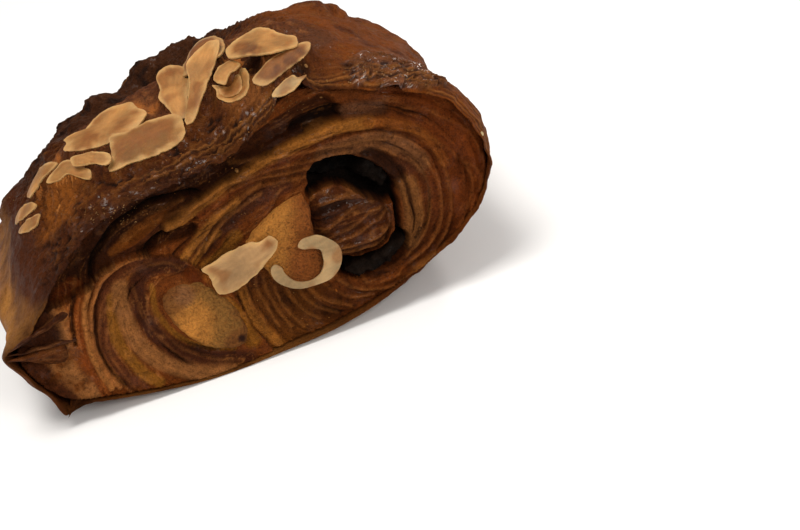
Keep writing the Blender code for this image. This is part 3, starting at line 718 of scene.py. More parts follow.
CARAMEL = paint(130, 73, 28)
RED_BROWN = paint(84, 36, 11)
PURPLE = paint(70, 36, 24)
GREY_PURPLE = paint(88, 56, 42)
OLIVE = paint(118, 76, 26)
DARK = paint(40, 17, 6)
BLACK = paint(9, 4, 3)
FACE_BROWN = paint(92, 46, 16)
OLIVE_BROWN = paint(108, 62, 20)
RUST = paint(90, 41, 12)
KNOB_BROWN = paint(62, 29, 10)

# each stroke: its line in (x, z), half its width, how deep it lies, its colour and how fully it covers
STROKES = [
    # the first two strokes and the deep dark and black ones are painted shade: in the recess under the top
    # shell, in gaps between leaves, and in the cavity round the knob, which also holds the dark chocolate
    ([(-46, 29), (-41.9, 31.4), (-33.1, 37), (-24.6, 40), (-12.4, 42.2), (-6.3, 43.2), (1, 44.4), (9.1, 46.6),
      (16.3, 48.4), (22.5, 49.4)], 2.5, 5.2, paint(46, 20, 7), 0.95),
    ([(-40, 29.6), (-36.5, 30.6), (-31.6, 34.5), (-27, 37.4), (-20.7, 38.6)], 2.2, 4.6, paint(44, 19, 7),
      0.85),
    ([(-46, 24), (-44, 27), (-40.6, 29.4)], 1.8, 5.5, RED_BROWN, 0.8),
    ([(-30, 33.6), (-24.2, 36), (-18.9, 37.4), (-13.5, 38)], 0.9, 4.4, CARAMEL, 0.6),
    ([(-30, 31.8), (-24.8, 32.6), (-20, 34.6), (-15.7, 35.4), (-11, 36)], 1.0, 4.6, PURPLE, 0.8),
    ([(-24.4, 31.6), (-19.6, 32.9), (-15.7, 33.2), (-12.2, 33.4)], 0.9, 5.0, DARK, 0.9),
    ([(16, 46.4), (18.5, 46.8), (21.8, 47.4), (25.5, 47.6)], 1.5, 6.5, BLACK, 1.0),
    ([(27.5, 47.2), (31, 46.4), (35, 45.4)], 1.5, 3.4, GREY_PURPLE, 0.8),
    ([(-17, 35.2), (-6.7, 38.6), (1.3, 41), (10.9, 43.2), (16.9, 44), (24.3, 44.4), (31.6, 43.2)],
     1.25, 1.5, TAN, 0.75),
    ([(-17, 37), (-6.7, 40.6), (1.3, 43.2), (10.9, 45.2), (17, 46)], 0.5, 3.6, DARK, 0.7),
    ([(31, 43.6), (38.1, 40.6), (43.5, 35.5), (45.8, 29)], 1.0, 1.8, CARAMEL, 0.7),
    ([(-10, 35.8), (-2.1, 38.6), (7.5, 40.8), (15.5, 41.4), (22.4, 41.4), (28.7, 41)], 0.7, 2.3, RED_BROWN,
      0.7),
    ([(20, 39.6), (28.3, 39.3), (33.7, 38), (38.4, 34.6), (40.6, 30.6)], 2.0, 2.2, paint(116, 76, 52), 0.8),
    ([(36, 27), (36.4, 22.6), (35.6, 18.4), (33.6, 14.6)], 2.1, 2.0, paint(118, 76, 44), 0.9),
    ([(36.6, 33), (38, 30)], 1.2, 2.6, PURPLE, 0.8),
    ([(29.6, 36), (32.6, 33.6), (34.8, 30)], 1.7, 3.4, BLACK, 0.85),
    ([(17.6, 35), (19.6, 35.7), (22.6, 35.5), (26, 34), (29, 30.8), (31.2, 27.6)], 2.2, 10.0, BLACK, 1.0),
    ([(15.4, 32.6), (17, 33.2), (20, 33.8), (23, 32.6), (25.8, 30), (28.6, 27.6), (30.9, 25.6)], 1.3, 9.0,
      BLACK, 1.0),
    ([(31.4, 28), (32.6, 24.5), (32.4, 20.5), (31.4, 17)], 0.5, 8.0, BLACK, 1.0),
    ([(31.2, 15), (29.6, 13.4), (26, 12.5), (21, 12.3), (17.2, 13.8)], 1.8, 10.0, BLACK, 1.0),
    ([(-12, 28), (-3.8, 32.7), (2.5, 34.6), (10.1, 35.6)], 1.3, 2.7, PURPLE, 0.95),
    ([(-16.4, 27.6), (-12, 31), (-6, 34), (-1.4, 35.9)], 0.8, 2.0, TAN, 0.8),
    ([(-14.4, 26.2), (-10.8, 29), (-7.4, 30.6)], 0.7, 2.2, TAN, 0.7),
    ([(-12, 24.6), (-8, 25.6), (-4, 28.6)], 1.3, 2.6, OLIVE, 0.8),
    ([(49.4, 29), (50.3, 24), (49.8, 19.3), (47.4, 14.4)], 0.3, 3.4, RED_BROWN, 0.8),
    ([(36, 48.6), (43, 45.6), (49.8, 40), (53, 33), (53.6, 25)], 0.28, 3.2, RED_BROWN, 0.8),
    ([(-3.2, 20.4), (-2.2, 17.4)], 1.5, 2.8, PURPLE, 0.7),
    ([(-8.6, 22), (-6.6, 18.6)], 1.6, 2.8, CARAMEL, 0.6),
    ([(-6.3, 16), (-6.2, 12), (-4.6, 7), (-2, 1.4)], 0.9, 2.2, TAN, 0.6),
    ([(12.5, 0.8), (21.6, 2.6), (30.3, 5.8), (38, 9.6)], 0.5, 0.9, TAN, 0.5),
]
# the recess under the top shell, along which painted shade darkens the face
RECESS_SHADE_LINE = [(-40, 32), (-27, 37), (-14, 40.4), (0, 43.4)]
LOBE_STROKES = [
    ([(-56.5, 20), (-55, 16.4), (-52.8, 13.2)], 2.1, 2.4, paint(58, 27, 11), 0.9),
    ([(-46.6, 25), (-47.6, 20), (-48.4, 15), (-47.6, 10), (-44.6, 6)], 2.6, 1.6, PALE, 0.9),
    ([(-38.7, 29.6), (-40.8, 26.1), (-42.3, 21.9), (-43.1, 16.7), (-42.8, 11.2), (-41.5, 5.1)],
     1.0, 1.5, paint(108, 52, 17), 0.9),
    # the thin dark strokes that lie deep are painted shade in gaps between leaves
    ([(-40.2, 29.4), (-43, 24.4), (-44.4, 18)], 0.3, 3.0, DARK, 0.9),
    ([(-31.2, 32), (-35.5, 30.8), (-38.4, 27.6), (-40.2, 23.4), (-41.4, 18), (-41.3, 11), (-40, 6)],
     0.55, 0.7, paint(146, 94, 54), 0.9),
    ([(-23.2, 30.6), (-29.7, 31.4), (-34.2, 29.6), (-37.3, 26.1), (-39.2, 21.9), (-40.2, 16.3), (-39.9, 9.5),
      (-38.3, 5.5)], 0.45, 0.8, paint(138, 86, 50), 0.85),
    ([(-22, 30), (-28.6, 30.9), (-33.4, 29.1), (-36.6, 25.6), (-38.4, 21.4), (-39.4, 16), (-39, 9.4),
      (-37, 5.3)], 0.28, 2.6, DARK, 0.95),
    ([(-21.4, 29.2), (-27.7, 30.1), (-32.4, 28.4), (-35.6, 25), (-37.1, 21), (-37.9, 15.6), (-37.2, 9.3),
      (-35.1, 5.1)], 1.15, 1.3, paint(82, 42, 24), 0.9),
    ([(-33.4, 25.2), (-34.9, 20.9), (-35.3, 15.8), (-34.2, 10.5), (-32.2, 6), (-29.8, 3.1)], 1.1, 1.5,
      OLIVE, 0.85),
    ([(-31.2, 26.6), (-32.2, 23.4), (-32.4, 19), (-31.7, 14.4), (-29.9, 10.2), (-27, 6.7), (-22.8, 3.4),
      (-18.4, 1.6), (-14, 1)], 1.75, 0.9, PALE, 0.95),
    ([(-17.5, 27), (-21.6, 28.5), (-25.4, 28.2), (-27.8, 25.6), (-28.4, 21.6), (-28.1, 17.3), (-26.6, 13),
      (-23.5, 8.2), (-18.2, 4.8), (-9.8, 1.8)], 1.7, 1.5, paint(54, 24, 12), 0.95),
    ([(-24.6, 24.6), (-25.6, 20), (-24.6, 15.5), (-22, 10.8), (-18, 7.4), (-12, 5)], 0.5, 2.0, OLIVE, 0.8),
    ([(-16, 24.6), (-14.6, 21.2), (-13.6, 18.1)], 1.2, 2.4, RED_BROWN, 0.8),
    ([(-12.5, 22.6), (-10.5, 19.4)], 1.2, 2.4, CARAMEL, 0.8),
    ([(-10.5, 15), (-9, 11), (-7.4, 5)], 1.6, 2.2, OLIVE, 0.7),
]


# single leaves that stand out of the face with a toasted edge and painted shadow beside it, and cracks
# between them, painted black as shade
LEAF_EDGES = [
    [(34.7, 40.3), (38.5, 39.2), (43.7, 35.6), (47.5, 31.4), (49.9, 27.7), (52.6, 25.1), (53.4, 22.4),
     (52.1, 19.9)],
    [(39.7, 43.8), (44.5, 41.8), (48.6, 38.4), (51.9, 35.3), (54, 30.9), (54.6, 27.5), (54.4, 24.2),
     (52.6, 19.2)],
    [(50.5, 26.7), (51, 22.3), (49.7, 19), (47.5, 15.5), (44.8, 13.1)],
    [(32.4, 36.6), (35.5, 34.3), (38.5, 31.6), (40.1, 28.6), (40.9, 25.4), (40.3, 21.5), (38.7, 17.4),
     (36, 13.7), (31.9, 10.9)],
    [(41.3, 31.5), (42.8, 27.7), (43.3, 23.3), (42.4, 18.6), (40.5, 14.7), (36.7, 11.4), (31.9, 9.2)],
    [(44.1, 32.6), (45.5, 28.4), (45.6, 24.2), (45.1, 19.8), (43.8, 16), (41, 11.9), (36.9, 9.1),
     (32.3, 7.8)],
    [(-0.2, 44.1), (3.5, 43.6), (9.2, 42.9), (14.9, 41.7), (18.7, 41.2), (24.5, 40.1), (29.6, 39.6),
     (34.2, 38.4)],
    [(-1.4, 40.5), (2.5, 40.4), (6.5, 40.2), (11.5, 39.7), (15.3, 39.2), (19.7, 38.9), (25.9, 38.2)],
    [(-1.9, 38.7), (3, 39.4), (9.1, 38.5), (14.5, 37.8), (17.6, 37.2)],
    [(-3.3, 34.3), (-0.5, 35.8), (3.9, 37.1), (9.4, 36.8), (14.5, 36.2)],
    [(-4.8, 20.5), (-5.2, 16.5), (-4.9, 12.1), (-3.5, 7.4)], [(-2.3, 19.2), (-2.8, 15.2), (-2.1, 10.7),
     (-0.8, 5.5)],
    [(-0.8, 17.8), (-0.8, 13.6), (0.2, 9), (1.8, 4.5)], [(1.1, 14.6), (1.3, 11.1), (2.6, 7.2), (4.7, 3.4)],
    [(3.6, 13.2), (4.2, 10), (6, 6.4), (8.6, 3.7)], [(6, 11.9), (6.9, 9.4), (9.3, 6.4), (12.8, 3.9)],
    [(8.4, 11.5), (10, 8.7), (12.7, 6.5), (16.2, 4.3)], [(11.6, 11.1), (14, 8.1), (17.5, 5.9), (21.8, 4.8)],
    [(14.9, 11.2), (17.4, 8.5), (21, 6.4), (26.1, 5.3), (30.4, 5.5)],
    [(42, 10.7), (35.8, 6.5), (31.6, 5.1), (26.5, 3.5), (22.3, 2.4)],
    [(-36.7, 36.2), (-37.7, 34.2), (-40.6, 33.4), (-43.1, 32.3), (-45.4, 30.9), (-47.7, 28.6), (-49.6, 26.1)],
    [(-9.8, 38.6), (-12.6, 36.9), (-16.1, 35.4), (-19.5, 34.3), (-22.3, 32.6), (-23.5, 31)],
    [(0.4, 40.9), (-4.7, 40.3), (-9.1, 38.4), (-13.1, 37.8), (-17.8, 37.2), (-21.4, 35.3), (-23.9, 33.2)],
    [(4.7, 37.8), (-0.1, 36.8), (-4.4, 35.2), (-7.8, 32.9), (-10.9, 30.4), (-12.8, 28)],
    [(4.1, 35.7), (0.4, 34.7), (-3.8, 33.4), (-6.7, 31.7), (-9.6, 29.6), (-11.3, 27.8)],
    [(-29.9, 38.8), (-25, 40.1), (-20.4, 40.4), (-16.3, 39.4), (-12.5, 39.6)],
    [(-31.9, 34.9), (-28.9, 37.3), (-24.8, 38.5), (-20.2, 38.8), (-16.4, 39)],
    [(-29.6, 32.9), (-26.7, 34.9), (-22.9, 36.3), (-18.6, 37.1)],
]
KNOB_EDGES = [
    [(14.6, 23.1), (17.9, 24.4), (21.7, 26.3), (25.1, 26.6), (27.5, 26.4)],
    [(15.4, 21.5), (21.4, 22.3), (26, 24), (28.6, 24.3)], [(16.7, 20.2), (22.6, 20.6), (27.4, 21.8),
     (30, 22.8)],
    [(16.3, 18.9), (20.9, 17.9), (26.4, 18), (29.4, 19.1)], [(16, 29.2), (19.4, 29.6), (23.3, 29.1),
     (26.3, 28)],
    [(17.5, 31.5), (20.3, 32.6), (22.3, 32.7)], [(16.6, 17.3), (21.3, 16.3), (25.8, 16.1), (28, 16.6)],
    [(27.6, 27.4), (29.5, 26.6), (30.6, 24.5), (30.8, 21.4), (30, 17.6), (28.8, 15.5)],
]
LOBE_EDGES = [
    [(-41.2, 4.8), (-41.7, 9.1), (-42, 13.7), (-41.6, 18.3), (-40.9, 22.1), (-39.8, 26.4)],
    [(-41.9, 7.1), (-41.5, 11.9), (-40.9, 16.5), (-40, 20.1), (-38.7, 23.6), (-36.8, 26.9), (-34.9, 29.3)],
    [(-36.1, 2.8), (-37.7, 6.3), (-38.9, 10.5), (-39.2, 14.2), (-38.8, 17.7), (-37.9, 20.9), (-36.2, 24.3),
     (-33.9, 26.6), (-31, 28.7), (-26.9, 29.9), (-23.1, 30.1)],
    [(-34.1, 2), (-36, 5.6), (-37.3, 9.8), (-37.7, 13.6), (-37.3, 17.1), (-35.9, 20.6), (-33.9, 23.4),
     (-31.3, 25.6)],
    [(-31.7, 3.6), (-34.1, 7.8), (-35.5, 12.8), (-35.7, 16.9), (-35.1, 20.3)],
    [(-19.2, 0.4), (-24.1, 3.3), (-27.6, 6.7), (-30.4, 11.1), (-31.8, 16), (-32.1, 21), (-32, 24.7)],
    [(-13, 1.3), (-20, 4), (-23, 6.6), (-25.4, 10), (-27.2, 13.7), (-28.4, 18.2), (-28.8, 22.3),
     (-28.5, 26.2)],
    [(-11, 1.6), (-16.2, 3.6), (-20.1, 6.1), (-23.5, 9.9), (-25.5, 14.3), (-26.6, 19.1), (-26.5, 23.1)],
    [(-30.1, 26.8), (-27.2, 28.9), (-23.4, 29.1), (-19.8, 28.5), (-16.9, 25.9)],
    [(-44.1, 18.5), (-42.8, 21.2), (-40.9, 26), (-39.1, 29.7)],
]
CRACKS = [
    [(-36.5, 29.9), (-34.5, 33.9), (-31.4, 36.6), (-27.6, 39.1), (-23.6, 40), (-19.6, 40.9), (-14, 40.9),
     (-8.6, 40.1)],
    [(-23.5, 31), (-21.4, 33), (-18, 34.1), (-15, 34.2)],
]
TOAST = paint(166, 108, 62)


def inside_region(x, z, corners):
    """Say which points lie inside a closed outline."""
    found = np.zeros(len(x), bool)
    for (ax, az), (bx, bz) in zip(corners, corners[1:] + corners[:1]):
        spans = (az > z) != (bz > z)
        crossing = ax + (z - az) * (bx - ax) / np.where(spans, bz - az, 1)
        found ^= spans & (x < crossing)
    return found


def away_from_line(x, z, line, reach):
    """Distance of each point from a line, or reach where it is farther than that."""
    nearest = np.full(len(x), float(reach))
    knots = smooth_line(line, 1.2)
    low = knots.min(axis=0) - reach
    high = knots.max(axis=0) + reach
    close = np.flatnonzero((x > low[0]) & (x < high[0]) & (z > low[1]) & (z < high[1]))
    spot = np.stack((x[close], z[close]), axis=1)
    best = np.full(len(close), float(reach))
    for a, b in zip(knots, knots[1:]):
        along = np.clip((spot - a) @ (b - a) / ((b - a) @ (b - a)), 0, 1)
        best = np.minimum(best, np.linalg.norm(spot - a - along[:, None] * (b - a), axis=1))
    nearest[close] = best
    return nearest


def count_layers(x, z, guides):
    """Count the layers out to each point, between the lines that guide them."""
    marks = np.concatenate([smooth_line(guide, 1.0) for guide in guides])
    counted = np.zeros(len(x))
    for block in np.array_split(np.arange(len(x)), 60):
        away = (x[block, None] - marks[:, 0]) ** 2 + (z[block, None] - marks[:, 1]) ** 2 + 0.02
        share = away**-1.35
        counted[block] = share @ marks[:, 2] / share.sum(axis=1)
    return counted


def leaves_of(x, z, count):
    """Relief, painted light and shade, and gaps of leaves of dough seen at their edges; count says which leaf
    is where.
    """
    flat = np.stack((x, z, np.zeros(len(x))), axis=1)
    count = count + 0.3 * lumps(flat, 5, 61) + 0.1 * lumps(flat, 1.5, 62)
    band = lumps(np.stack((count * 0.62, x / 26, z / 26), axis=1), 1, 63)
    crest = 1 - 2.4 * np.abs(lumps(np.stack((count * 1.5, x / 15, z / 15), axis=1), 1, 64))
    fine = 1 - 2.4 * np.abs(lumps(np.stack((count * 3.1, x / 9, z / 9), axis=1), 1, 65))
    crest = np.clip(crest, -1, 1)
    fine = np.clip(fine, -1, 1)
    rise = 0.75 * band + 0.5 * crest + 0.22 * fine
    # light is painted light and shade: lighter where the leaves stand out, darker where they lie back
    light = np.clip(1 + 0.5 * band + 0.24 * crest + 0.14 * fine, 0.3, 1.7)
    # gap is painted shade in the gaps between the leaves
    gap = ramp(-crest, 0.15, 0.75) * ramp(band, 0.35, -0.35)
    edge = ramp(crest, 0.7, 0.98) * ramp(lumps(flat, 4, 66) + band, -0.2, 0.4)
    return rise, light, gap, edge, count


def end_face(x, z, seed):
    """Depth, colour, gloss and leaf count of one end of the roll at places in (x, z)."""
    flat = np.stack((x, z, np.full(len(x), seed * 50.0)), axis=1)
    x = x + 0.35 * lumps(flat, 6, 70) + 0.14 * lumps(flat, 1.5, 71)
    z = z + 0.35 * lumps(flat, 6, 72) + 0.14 * lumps(flat, 1.5, 73)
    torn = 0.45 * lumps(flat, 0.9, 74)
    in_lobe = inside_region(x + torn, z - torn, LOBE_REGION)
    in_knob = inside_region(x, z, KNOB_REGION)
    in_coil = ~in_lobe & ~in_knob
    count = np.where(in_lobe, count_layers(x, z, LOBE_GUIDES) + 40, count_layers(x, z, LAYER_GUIDES))
    count = np.where(in_knob, count_layers(x, z, KNOB_GUIDES) + 80, count)
    plain = in_lobe * ramp(x, -42.6, -44.6)
    count = count + (40 + 0.6 * lumps(flat, 2.5, 68) - count) * plain
    rise, light, gap, edge, count = leaves_of(x, z, count)
    knob_out = (np.abs((x - 22) / 9.8) ** 3 + np.abs((z - 23.6) / 9.6) ** 3) ** (1 / 3)
    in_place = np.where(in_knob, 1.5 + 3.6 * ramp(knob_out, 0.6, 1.08), 2.6)
    depth = np.where(in_lobe, 1.7, in_place)
    colours = lay(np.tile(FACE_BROWN, (len(x), 1)), RUST, ramp(x, 30, 44) * 0.7)
    colours = lay(colours, OLIVE_BROWN, ramp(np.hypot(x, z - 8), 16, 6) * 0.7)
    colours[in_lobe] = FACE_BROWN
    colours[in_knob] = KNOB_BROWN
    for strokes, region in ((STROKES, in_coil), (LOBE_STROKES, in_lobe)):
        for line, half_width, deep, colour, cover in strokes:
            away = away_from_line(x, z, line, half_width * 1.5 + 0.6)
            share = ramp(away, half_width * 1.35 + 0.25, half_width * 0.7) * region
            depth = depth + (deep - depth) * share * 0.9
            colours = lay(colours, colour, share * cover)
    quiet = 1 - 0.75 * in_coil * ramp(x, -10, -24) * ramp(z, 26, 32) - 0.5 * in_lobe
    depth -= rise * np.where(in_knob, 0.34, np.where(in_lobe, 0.32, 0.38)) * quiet
    # painted light and shade of the leaves, by how far they stand out
    colours = colours * (1 + (light - 1) * quiet)[:, None]
    depth += gap * 0.5
    # painted shade in the gaps between the leaves
    colours = lay(colours, DARK * 0.6, gap * 0.8)
    colours = lay(colours, TOAST, edge * 0.3)
    for lines, region in ((LEAF_EDGES, in_coil), (KNOB_EDGES, in_knob), (LOBE_EDGES, in_lobe)):
        for line in lines:
            away = away_from_line(x, z, line, 2.2)
            own = np.clip(0.75 + 0.6 * lumps(flat, 3, 78), 0.2, 1)
            # painted shadow in the hollow beside each leaf's edge
            shaded_hollow = np.exp(-((away / 1.15) ** 2)) - np.exp(-((away / 0.55) ** 2))
            blade = np.exp(-((away / 0.42) ** 2)) * own
            depth += (0.42 * shaded_hollow - 0.32 * blade) * region * quiet
            colours = lay(colours, DARK, shaded_hollow * 0.6 * region * quiet)
            colours = lay(colours, TOAST, blade * 0.26 * region * quiet)
    for line in CRACKS:
        away = away_from_line(x, z, line, 2.2)
        # painted shade: the deep cracks are painted black
        crack_shade = np.exp(-((away / 0.5) ** 2)) * in_coil
        depth += 2.2 * crack_shade
        colours = lay(colours, BLACK, crack_shade * 0.9)
    # painted shade: darker along the recess under the top shell
    recess_shade = np.exp(-((away_from_line(x, z, RECESS_SHADE_LINE, 8) / 3.4) ** 2))
    colours = colours * (1 - 0.34 * recess_shade[:, None])
    blotch = 0.7 * lumps(flat, 3.4, 67) + 0.5 * lumps(flat, 1.1, 69)
    depth += plain * 0.5 * blotch
    colours = lay(colours, paint(92, 50, 20), plain * ramp(blotch, 0.0, 0.6))
    colours = lay(colours, paint(60, 28, 11), plain * ramp(x + 0.4 * (z - 12) + 2 * blotch, -47.5, -51.5))
    colours = lay(colours, paint(48, 22, 10), plain * ramp(z + blotch, 15, 19) * ramp(x + blotch, -45, -48))
    # painted shade: the knob's walls, where they fall deep into the cavity, and the deep hole in the coil are
    # painted black
    colours = lay(colours, BLACK, ramp(depth, 4.4, 6.4) * in_knob)
    shaded_hole = ramp(depth, 5.6, 7.6) * (in_coil & (x > 10))
    colours = lay(colours, BLACK, shaded_hole)
    colours = lay(colours, RUST, 0.5 * ramp(x + lumps(flat, 4, 83), 40, 48) * (z > 8))
    grainy = lumps(flat, 0.9, 75)
    depth += 0.09 * grainy + 0.06 * lumps(flat, 0.5, 76)
    colours = colours * np.clip(1 + 0.2 * lumps(flat, 2.4, 77) + 0.14 * grainy, 0.5, 1.6)[:, None]
    gloss = np.clip(0.34 + 0.16 * in_knob + 0.25 * edge + 0.35 * lumps(flat, 5, 79), 0, 1) * (1 - shaded_hole)
    return np.maximum(depth, 0.1), np.clip(colours * FACE_BRIGHTNESS, 0.001, 1), gloss, count


def end_scale(side):
    """How much smaller the lip's section is at the front or the back end, across and up."""
    return 1 - (BACK_ROUNDING + BACK_TAPER) * (side > 0)


def layered_end(name, side):
    """Make one end of the roll: a fine grid cut to the outline, sculpted, and closed by a flat back."""
    scale = end_scale(side)
    rim = (smooth_line(OUTLINE, 1.5, closed=True) - MIDDLE) * scale
    rim = MIDDLE + rim * (1 - FACE_EDGE / np.linalg.norm(rim, axis=1))[:, None]
    low = rim.min(axis=0)
    high = rim.max(axis=0)
    cells = np.ceil((high - low) / FACE_PITCH).astype(int)
    piece = new_piece(name, bpy.ops.mesh.primitive_grid_add, size=2,
                      x_subdivisions=int(cells[0]), y_subdivisions=int(cells[1]))
    spots = low + (points_of(piece, 1)[:, :2] + 1) / 2 * (high - low)
    put_points(piece, np.stack((spots[:, 0], np.zeros(len(spots)), spots[:, 1]), axis=1))
    keep = inside_region(spots[:, 0], spots[:, 1], [tuple(p) for p in rim])
    bpy.ops.object.mode_set(mode="EDIT")
    bpy.ops.mesh.select_all(action="DESELECT")
    bpy.ops.object.mode_set(mode="OBJECT")
    piece.data.vertices.foreach_set("select", ~keep)
    bpy.ops.object.mode_set(mode="EDIT")
    bpy.ops.mesh.delete(type="VERT")
    bpy.ops.mesh.select_all(action="SELECT")
    bpy.ops.mesh.region_to_loop()
    bpy.ops.mesh.extrude_edges_move(TRANSFORM_OT_translate={"value": (0, -side * FACE_BACK * MM, 0)})
    bpy.ops.mesh.edge_face_add()
    bpy.ops.object.mode_set(mode="OBJECT")
    points = points_of(piece)
    behind = np.abs(points[:, 1]) > FACE_BACK / 2
    flat = (points[:, (0, 2)] - MIDDLE) / scale + MIDDLE
    depth, colours, gloss, count = end_face(flat[:, 0], flat[:, 1], side + 1)
    depth = np.where(behind, FACE_BACK, depth)
    points[:, 1] = side * (half_depth(flat[:, 1]) - depth)
    put_points(piece, points)
    put_colour(piece, np.where(behind[:, None], DARK, colours), gloss)
    leaf = piece.data.attributes.new("leaf", "FLOAT", "POINT")
    leaf.data.foreach_set("value", count.astype(np.float32))
    outward(piece)
    stand_for(piece, "pastry", layer_material)
    return piece


layer_material = baked_dough("layered dough", 0.3, 0.55, 1.0, 1.1, 0.24, 0.0008)
front_layers = layered_end("front_layers", -1)
layered_end("back_layers", 1)


# Chocolate: dark sticks that melted and set again as a C round the knob of dough, right through the roll. It
# is nearly black, lumpy, and sunk behind the lip.
CHOCOLATE_TIP = (29.6, 31.4)
CHOCOLATE_SUNK = 7.0


def filling_from(node, name, pitch):
    """Copy a filling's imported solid, weld it and give it an even fine skin, ready to be worked."""
    bpy.ops.object.select_all(action="DESELECT")
    piece = bpy.data.objects.new(name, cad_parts[node].data.copy())
    bpy.context.scene.collection.objects.link(piece)
    piece.data.materials.clear()
    bpy.context.view_layer.objects.active = piece
    piece.select_set(True)
    edit_all(bpy.ops.mesh.remove_doubles, threshold=0.00001)
    skin = piece.modifiers.new("even skin", "REMESH")
    skin.mode = "VOXEL"
    skin.voxel_size = pitch * MM
    bpy.ops.object.modifier_apply(modifier=skin.name)
    return piece, points_of(piece), np.array([v.normal for v in piece.data.vertices])


chocolate, points, normals = filling_from("chocolate", "chocolate_stick", 0.4)
ends = ramp(np.abs(points[:, 1]), 26, 31)
shown = ramp(across_from(points, *CHOCOLATE_TIP), 5.0, 3.4)
sunk = CHOCOLATE_SUNK * ramp(points[:, 2], 14.6, 16.8) * (1 - 0.6 * shown)
uneven = 1.5 * lumps(points, 2.6, 80) + 1.1 * lumps(points, 1.2, 81)
points[:, 1] -= np.sign(points[:, 1]) * ends * (sunk + uneven - 0.8)
points += normals * (0.3 * lumps(points, 1.8, 82) * (0.3 + 0.7 * ends))[:, None]
put_points(chocolate, points)
# random tone, and painted shade that darkens the chocolate where it is sunk behind the lip
tone_and_sunk_shade = np.clip(1 + 0.7 * lumps(points, 1.6, 83), 0.3, 2) * (1 - 0.6 * np.clip(sunk / 5, 0, 1))
chocolate_gloss = np.clip(0.1 + 0.4 * lumps(points, 1.5, 84), 0, 1)
put_colour(chocolate, paint(17, 9, 6) * tone_and_sunk_shade[:, None], chocolate_gloss)
outward(chocolate)
stand_for(chocolate, "chocolate", baked_dough("baked chocolate", 0.25, 0.3, 0.8, 0.6))


# Almond cream: ground almonds, butter and egg, baked to a fine porous crumb. It fills the middle of the roll
# and the smaller lobe from end to end, golden where it is thick and browned where it is proud.
def porous_cream(name):
    """Baked almond cream: the painted tint with brown pores and a grainy relief."""
    made, shade, shader = new_material(name, {
        "Specular IOR Level": 0.12, "Roughness": 0.85, "Subsurface Weight": 0.05, "Subsurface Scale": 0.002,
    })
    place = shade.node("ShaderNodeTexCoord", output=3)
    crumb = grain(shade, place, 1700, 4.0, 0.65)
    dots = stretch(shade, grain(shade, place, 3200, 2.0, 0.5), 0.56, 0.7)
    light = (0.34 + crumb * 1.36) * (1 - dots * 0.2)
    join(shade, shader, {
        "Base Color": lit(shade, stored(shade, "tint", 0), light),
        "Normal": relief(shade, 1.0, 0.0004, crumb * 1.4 - dots * 0.7),
    })
    return made


CREAM_PITCH = 0.42
GOLD = paint(160, 104, 44)
CREAM_BROWN = paint(118, 64, 24)
# spots of the cream in the left lobe, in (x, z)
GLOW = (-20, 13)
PAINTED_HIGHLIGHT_SPOT = (-19, 20.5)
OPEN_PORE = (-9.6, 6.6)
cream_material = porous_cream("almond cream")


def worked_cream(node, name):
    """Make a filling of cream with soft lumps, and with pores at its two ends, whose wash it returns too."""
    piece, points, normals = filling_from(node, name, CREAM_PITCH)
    ends = ramp(np.abs(points[:, 1]), 30, 34)
    pores = np.clip(lumps(points, 1.1, 91) - 0.35, 0, 1) * ends
    push = 0.22 * lumps(points, 2.5, 90) + 0.08 * lumps(points, 0.8, 92) - 0.5 * pores
    points = points + normals * push[:, None]
    put_points(piece, points)
    return piece, points, (CREAM_BROWN * 0.8, np.clip(pores * 1.4, 0, 0.35))


def finish_cream(piece, node, washes):
    """Colour a filling of cream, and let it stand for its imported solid."""
    put_colour(piece, lay_all(GOLD, washes), 0.0)
    outward(piece)
    stand_for(piece, node, cream_material)


cream, points, pores = worked_cream("almond_cream_centre", "cream_centre")
browned = ramp(points[:, 0] - 0.45 * (points[:, 2] - 24) + 1.5 * lumps(points, 4, 93), 3.0, 10.0)
finish_cream(cream, "almond_cream_centre", [(CREAM_BROWN, browned), pores])

cream, points, pores = worked_cream("almond_cream_left", "cream_left")
from_glow = across_from(points, *GLOW)
low, high = (np.array(corner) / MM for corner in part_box("almond_cream_left"))
from_middle = (2 * points - low - high) / (high - low)
near_rim = ramp(across_from(from_middle, 0, 0) + 0.25 * lumps(points, 3, 96), 0.6, 1.0)
finish_cream(cream, "almond_cream_left", [
    (paint(122, 82, 36), ramp(from_glow + 1.5 * lumps(points, 4, 94), 4.0, 8.0)),
    (GOLD * 1.35, ramp(from_glow + lumps(points, 2, 95), 3.6, 1.0)),
    # painted highlight on the upper part of the cream
    (PALE, ramp(across_from(points, *PAINTED_HIGHLIGHT_SPOT), 3.5, 1.5) * 0.8),
    (paint(100, 58, 24), near_rim * 0.85),
    (DARK, ramp(across_from(points, *OPEN_PORE), 1.3, 0.6)),
    pores,
])


# Cream on the crown: the rest of the almond cream, spread along the top before the flakes were strewn on it.
# It baked golden and brown, and shows between the flakes.
CREAM_SINK = 1.35
GOLDEN_SPOTS = [((-38, -3, 43), 7.5), ((-35, -15, 44), 5.5), ((-15, -7, 50), 6.0), ((12, -11, 59), 5.0)]

